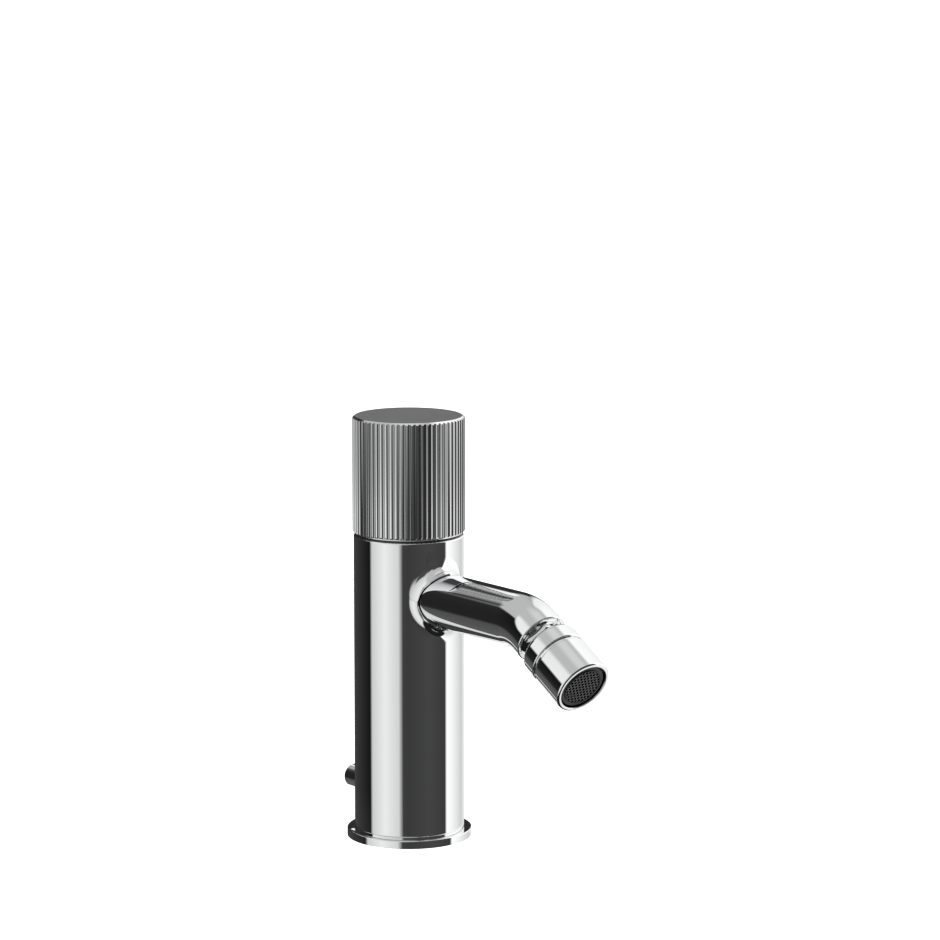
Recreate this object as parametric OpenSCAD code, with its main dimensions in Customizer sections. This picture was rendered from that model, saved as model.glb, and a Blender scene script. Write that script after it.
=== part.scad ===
// Bidet mixer for one deck hole: a column with a turning fluted knob, a bent spout with a
// swivelling aerator, and a pin at the back that lifts the pop-up waste.
// Millimetres. Z is up, the origin is the centre of the base on the deck, the spout points
// along -Y, the lift pin is at +Y, and hot water comes in at -X.

/* [Column] */
// Outer diameter of the column
column_d = 42; // [41:0.5:46]
// Wall of the column tube
column_wall = 2.5; // [2:0.1:2.8]
// Length of the column tube
column_h = 113.6; // [110:0.2:130]
// Rounding of the column's end edges
column_edge = 0.5; // [0.2:0.1:0.8]
// Depth of the dark gaps behind the column's face
shadow_depth = 0.6; // [0.4:0.1:1]

/* [Base] */
// Width of the flange beyond the column
flange_lip = 2.9; // [2:0.1:5]
// Height of the flange's rim
flange_h = 3.1; // [2.5:0.1:5]
// Rounding of the flange's upper edge
flange_edge = 0.35; // [0.2:0.05:0.8]
// Height of the dark gap between flange and column
foot_gap = 0.5; // [0.3:0.1:1]
// Outer diameter of the gasket
gasket_d = 44; // [40:0.1:45.2]
// Width of the gasket
gasket_w = 2.2; // [1.6:0.1:2.6]
// Thickness of the gasket
gasket_t = 1.4; // [1:0.1:1.8]

/* [Valve body] */
// Distance of the inlets' axes inside the cartridge's edge
inlet_inset = 5; // [4.6:0.1:5.4]
// Distance of the inlets behind the column's axis
inlet_back = 1; // [0.5:0.1:2]
// Bore of an inlet thread
inlet_bore_d = 9; // [8.5:0.1:9.4]
// Depth of an inlet thread
inlet_depth = 14; // [10:0.5:20]
// Bore of the passages to the cartridge
passage_d = 6; // [5:0.1:6.4]
// Distance of the fixing stud in front of the column's axis
stud_front = 10; // [9:0.1:12]
// Bore of the fixing stud's thread
stud_bore_d = 6.8; // [5:0.1:7]
// Depth of the fixing stud's thread
stud_depth = 15; // [10:0.5:20]
// Gap between the cartridge and the chamber's wall
chamber_gap = 1; // [0.8:0.1:1.2]
// Step from the chamber's wall out to the retaining nut's thread
nut_step = 1; // [0.8:0.1:1.5]

/* [Cartridge] */
// Diameter of the cartridge
cartridge_d = 25; // [24.4:0.1:25.4]
// Depth of the cartridge's seat below the spout's axis
seat_drop = 16.4; // [15.5:0.1:17]
// Thickness of the cartridge's base plate
base_plate_t = 2.4; // [2:0.1:2.8]
// Height of the spigot on the base plate
base_spigot_h = 2; // [1.5:0.1:2.5]
// Wall of the cartridge around the ceramic discs
cartridge_wall = 2; // [1.8:0.1:2.2]
// Thickness of a ceramic disc
disc_t = 4; // [3.4:0.1:4.4]
// Height of the disc carrier
disc_carrier_h = 5.6; // [4.8:0.1:6]
// Thickness of the cartridge's roof below its sealing collar
roof_t = 5.4; // [5:0.1:8]
// Height of the cartridge's sealing collar
collar_h = 3.6; // [3:0.1:4.4]
// Width of a sealing ring's groove
groove_w = 1.6; // [1.2:0.1:2]
// Height of the cartridge's neck
neck_h = 8.2; // [7.6:0.1:9]
// Diameter of the cartridge's neck
neck_d = 18; // [16:0.1:18.4]
// Diameter of the spindle
stem_d = 8; // [7:0.1:8.6]
// Height of the retaining nut
nut_h = 6.3; // [5.4:0.1:6.8]

/* [Knob] */
// Diameter of the knob over its crests
knob_d = 42.9; // [42.5:0.1:46]
// Height of the knob
knob_h = 44.8; // [40:0.1:60]
// Number of flutes
flutes = 66; // [40:1:80]
// Depth of a flute
flute_depth = 0.57; // [0.3:0.01:0.8]
// Width of a crest between two flutes
crest_w = 0.4; // [0.2:0.05:0.6]
// Width of a flute's bottom
flute_floor_w = 0.5; // [0.2:0.05:0.7]
// Inward step of the knob's lower chamfer
knob_foot_in = 0.85; // [0.6:0.05:1.2]
// Height of the knob's lower chamfer
knob_foot_h = 1; // [0.6:0.1:1.5]
// Inward step of the knob's upper chamfer
knob_top_in = 0.75; // [0.6:0.05:1.2]
// Height of the knob's upper chamfer
knob_top_h = 0.7; // [0.4:0.1:1.5]
// Wall of the knob around its carrier
knob_wall = 3.45; // [3:0.05:3.8]
// Thickness of the knob's top
knob_roof = 3; // [2:0.1:6]
// Turn of the knob between its stops, in degrees
knob_turn = 100; // [60:1:120]
// Height of the knob carrier's flange
carrier_flange_h = 5; // [4.6:0.1:6]

/* [Spout] */
// Drop of the spout's axis below the column's top
spout_drop = 22.3; // [20:0.1:25]
// Outer diameter of the spout tube
tube_d = 20.7; // [19:0.1:21]
// Wall of the spout tube
tube_wall = 1.5; // [1.3:0.1:1.6]
// Length of the straight tube from the column's axis
straight_len = 66.6; // [50:0.1:120]
// Radius of the bend's centre line
bend_r = 23.5; // [20:0.1:40]
// Angle of the bend, in degrees
bend_angle = 30; // [15:1:45]
// Length of the straight end after the bend
tip_len = 3.6; // [3:0.1:8]
// Rounding of the tube's end
tip_edge = 0.5; // [0.3:0.05:0.8]
// Radius of the fillet between column and spout
collar_r = 5.8; // [4:0.1:8]
// Length of the spigot in the valve body
spigot_len = 3.7; // [3.5:0.1:3.9]
// Diameter of the spigot in the valve body
spigot_d = 16.4; // [15.4:0.1:17]
// Bore of the spigot
spigot_bore_d = 12.6; // [10:0.1:12.8]

/* [Swivel nozzle] */
// Gap between the hexagon's corners and the tube's mouth
hex_gap = 0.19; // [0.1:0.01:0.4]
// Length of the hexagon beyond the tube's end
hex_len = 3.3; // [3:0.1:3.4]
// Wall of the threaded bush in the tube's mouth
bush_wall = 1.9; // [1.7:0.1:2]
// Diameter of the ball
ball_d = 16; // [15.8:0.1:16.2]
// Distance of the ball's centre beyond the tube's end
ball_s = 7.5; // [7.4:0.1:7.8]
// Bore of the ball
ball_bore_d = 7; // [5:0.1:7.6]
// Thickness of the floating ball seat
seat_t = 1.15; // [1:0.05:1.2]
// Wall of the swivel ring around its thread
ring_wall = 1.35; // [1.3:0.05:1.8]
// Length of the swivel ring
ring_len = 7.3; // [7.2:0.1:8]
// Rounding of the swivel ring's upper edge
ring_dome = 1.8; // [1.2:0.1:1.8]
// Step in from the swivel ring to the aerator housing
shell_step = 0.1; // [0:0.05:0.3]
// Length of the aerator housing below the groove
shell_len = 15.2; // [14.5:0.1:20]
// Rounding of the housing's mouth
shell_edge = 1; // [0.6:0.1:1]
// Height of the groove between ring and housing
groove_h = 1.3; // [0.8:0.1:2]
// Depth of the groove between ring and housing
groove_depth = 0.65; // [0.4:0.05:0.9]
// Wall of the housing's mouth
mouth_wall = 1.65; // [1.5:0.05:2]
// Gap around the insert in the housing's mouth
mouth_gap = 0.6; // [0.4:0.05:0.9]
// Width of the insert's rim around the honeycomb disc
insert_lip = 1.45; // [1.2:0.05:1.8]
// Distance between the honeycomb's holes
grille_pitch = 1.5; // [1.3:0.05:2.2]
// Width of a honeycomb hole across its flats
grille_hole = 1.1; // [0.9:0.05:1.15]

/* [Waste lift] */
// Diameter of the lift pin's head
pin_d = 8.9; // [7:0.1:10]
// Length of the lift pin's head
pin_len = 15.4; // [10:0.1:25]
// Height of the lift pin above the deck at rest
pin_z = 16.05; // [15.5:0.05:18]
// Diameter of the lift pin's neck
pin_neck_d = 5; // [4:0.1:5.2]
// Travel of the lift pin
lift_travel = 12; // [8:0.5:14]
// Width of the sliding block
block_w = 7.5; // [7.2:0.1:8.5]
// Depth of the sliding block
block_t = 6; // [5.8:0.1:6.1]
// Height of the sliding block
block_h = 10; // [9.4:0.1:12]
// Diameter of the lift rod
rod_d = 4; // [3:0.1:4.2]
// Diameter of the rod's coupler
coupler_d = 6; // [5.6:0.1:7.2]
// Length of the rod's coupler
coupler_len = 7; // [6.5:0.1:8]
// Bore of the coupler's thread
coupler_bore_d = 3.3; // [2.5:0.1:3.6]

/* [Fits] */
// Gap between parts that are screwed or pressed together
fit_gap = 0.05; // [0.02:0.01:0.08]
// Gap around parts that turn or slide in each other
run_gap = 0.05; // [0.03:0.01:0.08]
// Gap around loose parts
loose_gap = 0.2; // [0.15:0.05:0.25]

/* [Hidden] */
$fn = 96;
// Length by which a cutting shape stands past the surface that it cuts
cut = 1;
// Steps of a small rounding
edge_steps = 4;

// Column and base
column_r = column_d / 2;
column_bore_r = column_r - column_wall;
column_z = flange_h + foot_gap;
column_top = column_z + column_h;
shadow_r = column_r - shadow_depth;
flange_r = column_r + flange_lip;
gasket_r = gasket_d / 2;
core_r = column_bore_r - loose_gap;

// Glide ring between column and knob
glide_flange_t = 0.6;
glide_spigot_h = 4.2;
glide_wall = 1.45;
glide_r = column_bore_r - fit_gap;
core_top = column_top - glide_spigot_h;

// Cartridge heights, from its seat in the valve body upwards
cartridge_r = cartridge_d / 2;
disc_bore_r = cartridge_r - cartridge_wall;
chamber_r = cartridge_r + chamber_gap;
spout_z = column_top - spout_drop;
seat_z = spout_z - seat_drop;
seat_depth = 1.5;
base_z = seat_z + 2 * fit_gap;
base_top = base_z + base_plate_t;
disc_z = base_top + base_spigot_h;
moving_z = disc_z + disc_t + run_gap;
disc_carrier_z = moving_z + disc_t;
disc_carrier_top = disc_carrier_z + disc_carrier_h;
roof_z = disc_carrier_top + 2 * loose_gap;
seal_collar_z = roof_z + roof_t;
seal_collar_top = seal_collar_z + collar_h;
neck_top = seal_collar_top + neck_h;
nut_z = seal_collar_top + fit_gap;
nut_top = nut_z + nut_h;
base_rebate = 0.9;
spigot_up_r = disc_bore_r + base_rebate;
disc_r = disc_bore_r - loose_gap;
stem_r = stem_d / 2;
neck_r = neck_d / 2;
foot_corner = 0.18;
foot_w = sqrt(2) * (stem_r - foot_corner);
foot_lift = 1;
window_w = 6;
passage_r = passage_d / 2;
inlet_x = cartridge_r - inlet_inset;
seal_wall = 1.1;
seal_h = 1.2;
nut_r = chamber_r + nut_step;
collar_groove_z = seal_collar_z + (collar_h - groove_w) / 2;
collar_groove_depth = 1.4;
stem_groove_z = neck_top - 5;
stem_groove_depth = 1;

// Limit ring and stops
limit_t = 2;
limit_top = nut_top + limit_t;
limit_r = nut_r - 1.5;
key_w = 2.8;
key_t = 1.3;
notch_h = 2;
stop_in_r = neck_r + 1;
stop_r = limit_r - loose_gap;
stop_post_h = 3.1;
stop_lug_w = 12;
stop_post_w = 10;
stop_play = 1.5;
lug_angle = 40;

// Knob and its carrier
knob_r = knob_d / 2;
knob_z = column_top + glide_flange_t + loose_gap;
knob_top = knob_z + knob_h;
knob_bore_r = knob_r - knob_wall;
knob_ledge = 1;
hub_z = neck_top + 0.8;
hub_r = neck_r - 0.1;
lug_z = max(hub_z, limit_top + 0.65);
carrier_flange_z = knob_z + 2.5;
carrier_flange_top = carrier_flange_z + carrier_flange_h;
hub_top = carrier_flange_top + 1.5;
hub_roof = 1.5;
spline_z = hub_z + 1;
stem_top = hub_top - hub_roof - fit_gap;
spline_r = stem_r - 0.1;
spline_depth = 0.5;
splines = 20;
screw_r = 2;
screw_len = 10;
grub_z = carrier_flange_z + carrier_flange_h / 2;
grub_seat_depth = 0.9;
grub_len = 3.2;

// Spout: its axis leaves the column along -Y, bends down and ends at the tip
tube_r = tube_d / 2;
tube_bore_r = tube_r - tube_wall;
shoulder_u = core_r + 0.15;
spigot_u = shoulder_u - spigot_len;
spigot_r = spigot_d / 2;
spigot_bore_r = spigot_bore_d / 2;
spigot_groove_depth = 0.8;
spigot_groove_u = spigot_u + loose_gap;
bend_end_y = -straight_len - bend_r * sin(bend_angle);
bend_end_z = spout_z - bend_r * (1 - cos(bend_angle));
tip_y = bend_end_y - tip_len * cos(bend_angle);
tip_z = bend_end_z - tip_len * sin(bend_angle);
collar_skin = 0.05;

// Swivel joint and nozzle, along the tip's axis from the tube's end
nipple_r = tube_bore_r - bush_wall - fit_gap;
bush_len = 8.4;
hex_back = -0.55;
hex_r = tube_bore_r - hex_gap;
hex_flat_r = hex_r * cos(30);
hex_chamfer_h = 1;
hex_end_r = hex_flat_r - 0.1;
shank_r = nipple_r - 1.9;
shank_back = -3;
ball_r = ball_d / 2;
ball_flat = hex_len + fit_gap;
thread_back = -8;
seat_outer_r = ball_r + run_gap + seat_t;
cup_r = seat_outer_r + run_gap;
cup_thread_r = cup_r + 0.6;
ring_r = cup_thread_r + fit_gap + ring_wall;
ring_z = ball_s - 3.3;
ring_end = ring_z + ring_len;
lip_s = ball_s - 2.2;
lip_end = ball_s - 1.7;
rim_r = ring_r - ring_dome - 0.05;
cup_thread_s = ball_s + 2.3;
shell_r = ring_r - shell_step;
shell_z = ring_end + groove_h;
nozzle_end = shell_z + shell_len;
throat_r = 5.5;
aerator_s = ball_s + cup_r - 0.25;
mouth_r = shell_r - mouth_wall;
washer_t = 1.5;
mesh_t = 0.4;
mesh_s = aerator_s + washer_t;
insert_s = mesh_s + mesh_t + fit_gap;
insert_end = nozzle_end - 0.1;
insert_r = mouth_r - mouth_gap;
grille_r = insert_r - insert_lip;
insert_flange_h = 2;
insert_bore_r = grille_r + fit_gap;
regulator_r = 4.9;
regulator_t = 1.7;
grille_t = 1.5;

// Waste lift, in the keyway at the back of the valve body
keyway_w = max(block_w, coupler_d) + 2 * loose_gap + 1.3;
guide_t = 0.6;
// The slide lies inside the core's face and, where that is narrower, inside the gasket
slide_rim = min(core_r, gasket_r - gasket_w - loose_gap);
slide_t = max(block_t, coupler_d);
keyway_y = slide_rim - slide_t - 1.3;
keyway_h = pin_z + block_h / 2 + lift_travel + 1.45;
block_y = keyway_y + fit_gap + guide_t + loose_gap;
rod_y = block_y + slide_t / 2;
block_z = pin_z - block_h / 2;
coupler_r = coupler_d / 2;
coupler_z = 1;
rod_seat = 2.4;
coupler_bore_len = coupler_len - rod_seat - 0.6;
rod_bottom = coupler_z + coupler_len - rod_seat + fit_gap;
rod_top = block_z + 2;
pin_neck_r = pin_neck_d / 2;
pin_head_y = column_r + 0.4;
pin_root_y = block_y + 1;
slot_r = pin_neck_r + 0.15;
pin_edge = 0.15;

// Points of an arc about (x, y), from angle a to angle b
function arc(x, y, r, a, b, n = edge_steps) =
    [for (i = [0:n]) [x + r * cos(a + (b - a) * i / n), y + r * sin(a + (b - a) * i / n)]];

// Ring between two radii and two heights
module ring(r_out, r_in, z_low, z_high) {
    rotate_extrude()
        polygon([[r_in, z_low], [r_out, z_low], [r_out, z_high], [r_in, z_high]]);
}

// Wedge about the Z axis, from angle a to angle b, out to radius r
module wedge(r, a, b, z_low, z_high) {
    steps = ceil((b - a) / 20);
    translate([0, 0, z_low])
        linear_extrude(z_high - z_low)
            polygon(concat([[0, 0]], arc(0, 0, r, a, b, steps)));
}

// Star of teeth between two radii, for the spline
module star(r_out, r_in, teeth, height) {
    step = 360 / teeth;
    linear_extrude(height)
        polygon([for (i = [0:teeth - 1]) each [
            r_out * [cos(i * step), sin(i * step)],
            r_out * [cos((i + 0.3) * step), sin((i + 0.3) * step)],
            r_in * [cos((i + 0.5) * step), sin((i + 0.5) * step)],
            r_in * [cos((i + 0.8) * step), sin((i + 0.8) * step)]
        ]]);
}

// Frame whose Z axis runs out along the straight spout, from the column's axis
module at_spout() {
    translate([0, 0, spout_z])
        rotate([90, 0, 0])
            children();
}

// Frame at the centre of the tube's end, whose Z axis runs downstream and Y axis points up
module at_tip() {
    translate([0, tip_y, tip_z])
        rotate([90 + bend_angle, 0, 0])
            children();
}

// Frame whose Z axis runs out along the lift pin, from the column's axis
module at_pin() {
    translate([0, 0, pin_z])
        rotate([-90, 0, 0])
            children();
}

// Groove for the gasket, open towards the deck
module gasket_groove() {
    ring(gasket_r + fit_gap, gasket_r - gasket_w - fit_gap, -cut, gasket_t + fit_gap);
}

module base_flange() {
    bore_r = core_r + loose_gap / 2;
    color("silver")
        difference() {
            rotate_extrude()
                polygon(concat(
                    [[bore_r, 0], [flange_r, 0]],
                    arc(flange_r - flange_edge, flange_h - flange_edge, flange_edge, 0, 90),
                    [[shadow_r, flange_h], [shadow_r, column_z], [bore_r, column_z]]
                ));
            gasket_groove();
        }
}

module base_gasket() {
    color("dimgray")
        ring(gasket_r, gasket_r - gasket_w, 0, gasket_t);
}

module valve_body() {
    color("goldenrod")
        difference() {
            cylinder(r = core_r, h = core_top);
            translate([0, 0, seat_z])
                cylinder(r = cartridge_r + 2 * fit_gap, h = seat_depth + cut);
            translate([0, 0, seat_z + seat_depth])
                cylinder(r = chamber_r, h = core_top);
            translate([0, 0, nut_z - loose_gap])
                cylinder(r = nut_r + fit_gap, h = core_top);
            for (side = [-1, 1])
                translate([side * inlet_x, inlet_back, -cut]) {
                    cylinder(d = inlet_bore_d, h = inlet_depth + cut);
                    cylinder(r = passage_r, h = seat_z + 2 * cut);
                }
            translate([0, -stud_front, -cut])
                cylinder(d = stud_bore_d, h = stud_depth + cut);
            translate([-keyway_w / 2, keyway_y, -cut])
                cube([keyway_w, core_r, keyway_h + cut]);
            gasket_groove();
            at_spout() {
                cylinder(r = spigot_bore_r, h = core_r + cut);
                translate([0, 0, spigot_u - fit_gap])
                    cylinder(r = spigot_r + fit_gap, h = core_r);
            }
        }
}

module column_shell() {
    color("silver")
        difference() {
            translate([0, 0, column_z])
                rotate_extrude()
                    polygon(concat(
                        [[column_bore_r, 0]],
                        arc(column_r - column_edge, column_edge, column_edge, -90, 0),
                        arc(column_r - column_edge, column_h - column_edge, column_edge, 0, 90),
                        [[column_bore_r, column_h]]
                    ));
            at_spout()
                cylinder(r = tube_r + fit_gap, h = column_r + cut);
            for (lift = [0, lift_travel])
                translate([0, 0, lift])
                    at_pin()
                        cylinder(r = slot_r, h = column_r + cut);
            translate([-slot_r, 0, pin_z])
                cube([2 * slot_r, column_r + cut, lift_travel]);
        }
}

// The collar is the space under a ball that rolls round the spout and touches the column.
// For each direction t round the spout its section has an arc of the ball, a stretch of the
// column and a stretch of the tube. Points are [across, up, out] in the spout's frame.
module spout_collar() {
    steps = 48;
    arc_steps = 6;
    inner_r = column_r + collar_skin;
    hole_r = tube_r + collar_skin;
    ball = collar_r - 2 * collar_skin;
    sections = [for (i = [0:steps - 1])
        let (
            t = i * 360 / steps,
            w = (tube_r + collar_r) * cos(t),
            z = (tube_r + collar_r) * sin(t),
            u = sqrt(pow(column_r + collar_r, 2) - w * w),
            to_tube = [cos(t), sin(t), 0],
            to_column = [w, 0, u] / (column_r + collar_r),
            span = acos(to_tube * to_column),
            foot = asin(w / (column_r + collar_r)),
            hole = [hole_r * cos(t), hole_r * sin(t)],
            root = asin(hole[0] / inner_r)
        )
        concat(
            [for (k = [0:arc_steps])
                [w, z, u] - ball * (to_tube * sin(span * (1 - k / arc_steps))
                    + to_column * sin(span * k / arc_steps)) / sin(span)],
            [for (k = [0:2])
                let (a = foot + (root - foot) * k / 2, up = z + (hole[1] - z) * k / 2)
                [inner_r * sin(a), up, inner_r * cos(a)]],
            [[hole[0], hole[1], u]]
        )];
    count = arc_steps + 5;
    points = [for (section = sections) each section];
    faces = [for (i = [0:steps - 1], k = [0:count - 1])
        let (
            a = i * count + k,
            b = i * count + (k + 1) % count,
            c = ((i + 1) % steps) * count + (k + 1) % count,
            d = ((i + 1) % steps) * count + k
        )
        each [[a, b, c], [a, c, d]]];
    color("silver")
        at_spout()
            polyhedron(points, faces);
}

// The tube's straight run with its spigot, and its bend
module spout_tube() {
    color("silver") {
        at_spout()
            rotate_extrude()
                polygon([
                    [spigot_bore_r, spigot_u], [spigot_r, spigot_u],
                    [spigot_r, spigot_groove_u], [spigot_r - spigot_groove_depth, spigot_groove_u],
                    [spigot_r - spigot_groove_depth, spigot_groove_u + groove_w],
                    [spigot_r, spigot_groove_u + groove_w], [spigot_r, shoulder_u],
                    [tube_r, shoulder_u], [tube_r, straight_len],
                    [tube_bore_r, straight_len], [tube_bore_r, shoulder_u + 3],
                    [spigot_bore_r, shoulder_u + 1]
                ]);
        translate([0, -straight_len, spout_z - bend_r])
            rotate([0, 90, 0])
                rotate([0, 0, 180])
                    rotate_extrude(angle = bend_angle)
                        translate([bend_r, 0])
                            difference() {
                                circle(r = tube_r);
                                circle(r = tube_bore_r);
                            }
    }
}

module spout_o_ring() {
    color("black")
        at_spout()
            ring(spigot_r + fit_gap / 2, spigot_r - spigot_groove_depth + fit_gap / 2,
                spigot_groove_u + fit_gap, spigot_groove_u + groove_w - fit_gap);
}

// Turned end, brazed to the tube: its rim runs on from the tube, its threaded spigot stands in
// the tube and narrows upstream, where the tube's bore bends away
module spout_end() {
    front = hex_back - fit_gap;
    back = front - bush_len;
    color("silver")
        at_tip()
            rotate_extrude()
                polygon(concat(
                    [[nipple_r + fit_gap, back], [nipple_r + 1, back],
                    [tube_bore_r - fit_gap, -tip_len], [tube_r, -tip_len]],
                    arc(tube_r - tip_edge, -tip_edge, tip_edge, 0, 90),
                    [[tube_bore_r, 0], [tube_bore_r, front], [nipple_r + fit_gap, front]]
                ));
}

module swivel_nipple() {
    chamfer_start = hex_len - hex_chamfer_h;
    chamfer_slope = hex_chamfer_h / (hex_r - hex_end_r);
    color("silver")
        at_tip()
            difference() {
                union() {
                    translate([0, 0, thread_back])
                        cylinder(r = nipple_r, h = hex_back - thread_back + cut / 2);
                    intersection() {
                        translate([0, 0, hex_back])
                            rotate([0, 0, -6])
                                cylinder(r = hex_r, h = hex_len - hex_back, $fn = 6);
                        rotate_extrude()
                            polygon([
                                [0, hex_back], [hex_flat_r + 0.4, hex_back],
                                [hex_r + 1, hex_back + 1], [hex_r + 1, chamfer_start - chamfer_slope],
                                [hex_end_r, hex_len], [0, hex_len]
                            ]);
                    }
                }
                translate([0, 0, shank_back - fit_gap])
                    cylinder(r = shank_r + fit_gap, h = hex_len - shank_back + cut);
                translate([0, 0, thread_back - cut])
                    cylinder(r = shank_r - 0.6, h = shank_back - thread_back + 2 * cut);
            }
}

module swivel_ball() {
    color("silver")
        at_tip()
            difference() {
                union() {
                    difference() {
                        translate([0, 0, ball_s])
                            sphere(r = ball_r);
                        translate([0, 0, ball_flat - 2 * ball_r])
                            cylinder(r = 2 * ball_r, h = 2 * ball_r);
                    }
                    translate([0, 0, shank_back])
                        cylinder(r = shank_r, h = ball_s - shank_back);
                }
                translate([0, 0, shank_back - cut])
                    cylinder(d = ball_bore_d, h = ball_s + ball_r - shank_back + 2 * cut);
            }
}

module port_seals() {
    color("black")
        for (side = [-1, 1])
            translate([side * inlet_x, inlet_back, seat_z])
                ring(passage_r + seal_wall, passage_r + fit_gap, 0, seal_h);
}

module cartridge_base() {
    color("ivory")
        difference() {
            union() {
                translate([0, 0, base_z])
                    cylinder(r = cartridge_r, h = base_plate_t);
                translate([0, 0, base_top - cut])
                    cylinder(r = spigot_up_r, h = base_spigot_h + cut);
            }
            for (side = [-1, 1])
                translate([side * inlet_x, inlet_back, seat_z - cut]) {
                    cylinder(r = passage_r + seal_wall + fit_gap, h = seal_h + fit_gap + cut);
                    cylinder(r = passage_r, h = disc_z - seat_z + 2 * cut);
                }
        }
}

module cartridge_body() {
    color("ivory")
        difference() {
            union() {
                translate([0, 0, base_top])
                    cylinder(r = cartridge_r, h = seal_collar_z - base_top);
                translate([0, 0, seal_collar_z])
                    cylinder(r = chamber_r - fit_gap, h = collar_h);
                translate([0, 0, seal_collar_top])
                    cylinder(r = neck_r, h = neck_h);
            }
            translate([0, 0, base_top - cut])
                cylinder(r = spigot_up_r + fit_gap, h = base_spigot_h + fit_gap + cut);
            translate([0, 0, base_top])
                cylinder(r = disc_bore_r, h = roof_z - base_top);
            translate([0, 0, roof_z - cut])
                cylinder(r = stem_r + run_gap, h = neck_top - roof_z + 2 * cut);
            ring(chamber_r + cut, chamber_r - collar_groove_depth,
                collar_groove_z, collar_groove_z + groove_w);
            for (side = [0:3])
                rotate([0, 0, side * 90])
                    translate([0, -window_w / 2, disc_carrier_z])
                        cube([chamber_r, window_w, disc_carrier_h - 1.2]);
        }
}

module cartridge_o_ring() {
    color("black")
        ring(chamber_r - fit_gap / 2, chamber_r - collar_groove_depth + fit_gap / 2,
            collar_groove_z + fit_gap, collar_groove_z + groove_w - fit_gap);
}

module fixed_disc() {
    color("white")
        difference() {
            translate([0, 0, disc_z])
                cylinder(r = disc_r + loose_gap / 2, h = disc_t);
            for (side = [-1, 1])
                translate([side * (inlet_x - 0.6), inlet_back, disc_z - cut])
                    cylinder(r = passage_r - 0.4, h = disc_t + 2 * cut);
        }
}

module retaining_nut() {
    notch_w = key_w + loose_gap;
    color("goldenrod")
        difference() {
            ring(nut_r, neck_r + loose_gap, nut_z, nut_top);
            for (side = [0:3])
                rotate([0, 0, side * 90])
                    translate([limit_r - key_t - loose_gap, -notch_w / 2, nut_top - notch_h])
                        cube([nut_r, notch_w, notch_h + cut]);
        }
}

// Ring with a key in one notch of the nut and two posts that the knob carrier's lug meets
module limit_ring() {
    reach = stop_lug_w / 2 + stop_post_w / 2 + stop_play;
    color("darkorange") {
        ring(limit_r, neck_r + loose_gap, nut_top, limit_top);
        translate([limit_r - key_t - loose_gap / 2, -key_w / 2, nut_top - notch_h + loose_gap / 2])
            cube([key_t, key_w, notch_h]);
        for (middle = [lug_angle - reach, lug_angle + knob_turn + reach])
            intersection() {
                ring(stop_r, stop_in_r, nut_top + cut, limit_top + stop_post_h);
                wedge(2 * stop_r, middle - stop_post_w / 2, middle + stop_post_w / 2,
                    nut_top, limit_top + stop_post_h + cut);
            }
    }
}

module glide_ring() {
    color("dimgray")
        rotate_extrude()
            polygon([
                [glide_r - glide_wall, core_top], [glide_r, core_top], [glide_r, column_top],
                [shadow_r, column_top], [shadow_r, column_top + glide_flange_t],
                [glide_r - glide_wall, column_top + glide_flange_t]
            ]);
}

// Channel of plastic that lines the keyway on three sides
module carriage_guide() {
    outer_w = keyway_w - 2 * fit_gap;
    inner_w = outer_w - 2 * guide_t;
    bottom = 2;
    color("white")
        difference() {
            translate([-outer_w / 2, keyway_y + fit_gap, bottom])
                cube([outer_w, block_t, keyway_h - bottom - fit_gap]);
            translate([-inner_w / 2, keyway_y + fit_gap + guide_t, bottom - cut])
                cube([inner_w, block_t, keyway_h + 2 * cut]);
        }
}

// Prism of crests and flutes, cut to a chamfer at both ends
module fluted_knob() {
    pitch = 360 / flutes;
    first_crest = 2.41;
    floor_r = knob_r - flute_depth;
    crest = crest_w / 2 / knob_r * 180 / PI;
    floor = flute_floor_w / 2 / floor_r * 180 / PI;
    foot_slope = knob_foot_h / knob_foot_in;
    top_slope = knob_top_h / knob_top_in;
    intersection() {
        translate([0, 0, knob_z])
            linear_extrude(knob_h)
                polygon([for (i = [0:flutes - 1])
                    let (a = first_crest + i * pitch, b = a + pitch / 2)
                    each [
                        knob_r * [cos(a - crest), sin(a - crest)],
                        knob_r * [cos(a + crest), sin(a + crest)],
                        floor_r * [cos(b - floor), sin(b - floor)],
                        floor_r * [cos(b + floor), sin(b + floor)]
                    ]]);
        rotate_extrude()
            polygon([
                [0, knob_z], [knob_r - knob_foot_in, knob_z],
                [knob_r + cut, knob_z + knob_foot_h + cut * foot_slope],
                [knob_r + cut, knob_top - knob_top_h - cut * top_slope],
                [knob_r - knob_top_in, knob_top], [0, knob_top]
            ]);
    }
}

module knob_shell() {
    color("gray")
        difference() {
            fluted_knob();
            translate([0, 0, knob_z - cut])
                cylinder(r = knob_bore_r, h = carrier_flange_top + fit_gap - knob_z + cut);
            translate([0, 0, knob_z])
                cylinder(r = knob_bore_r - knob_ledge, h = knob_h - knob_roof);
            translate([0, 0, grub_z])
                rotate([-90, 0, 0])
                    cylinder(r = screw_r + fit_gap, h = knob_r + cut);
        }
}

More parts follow.
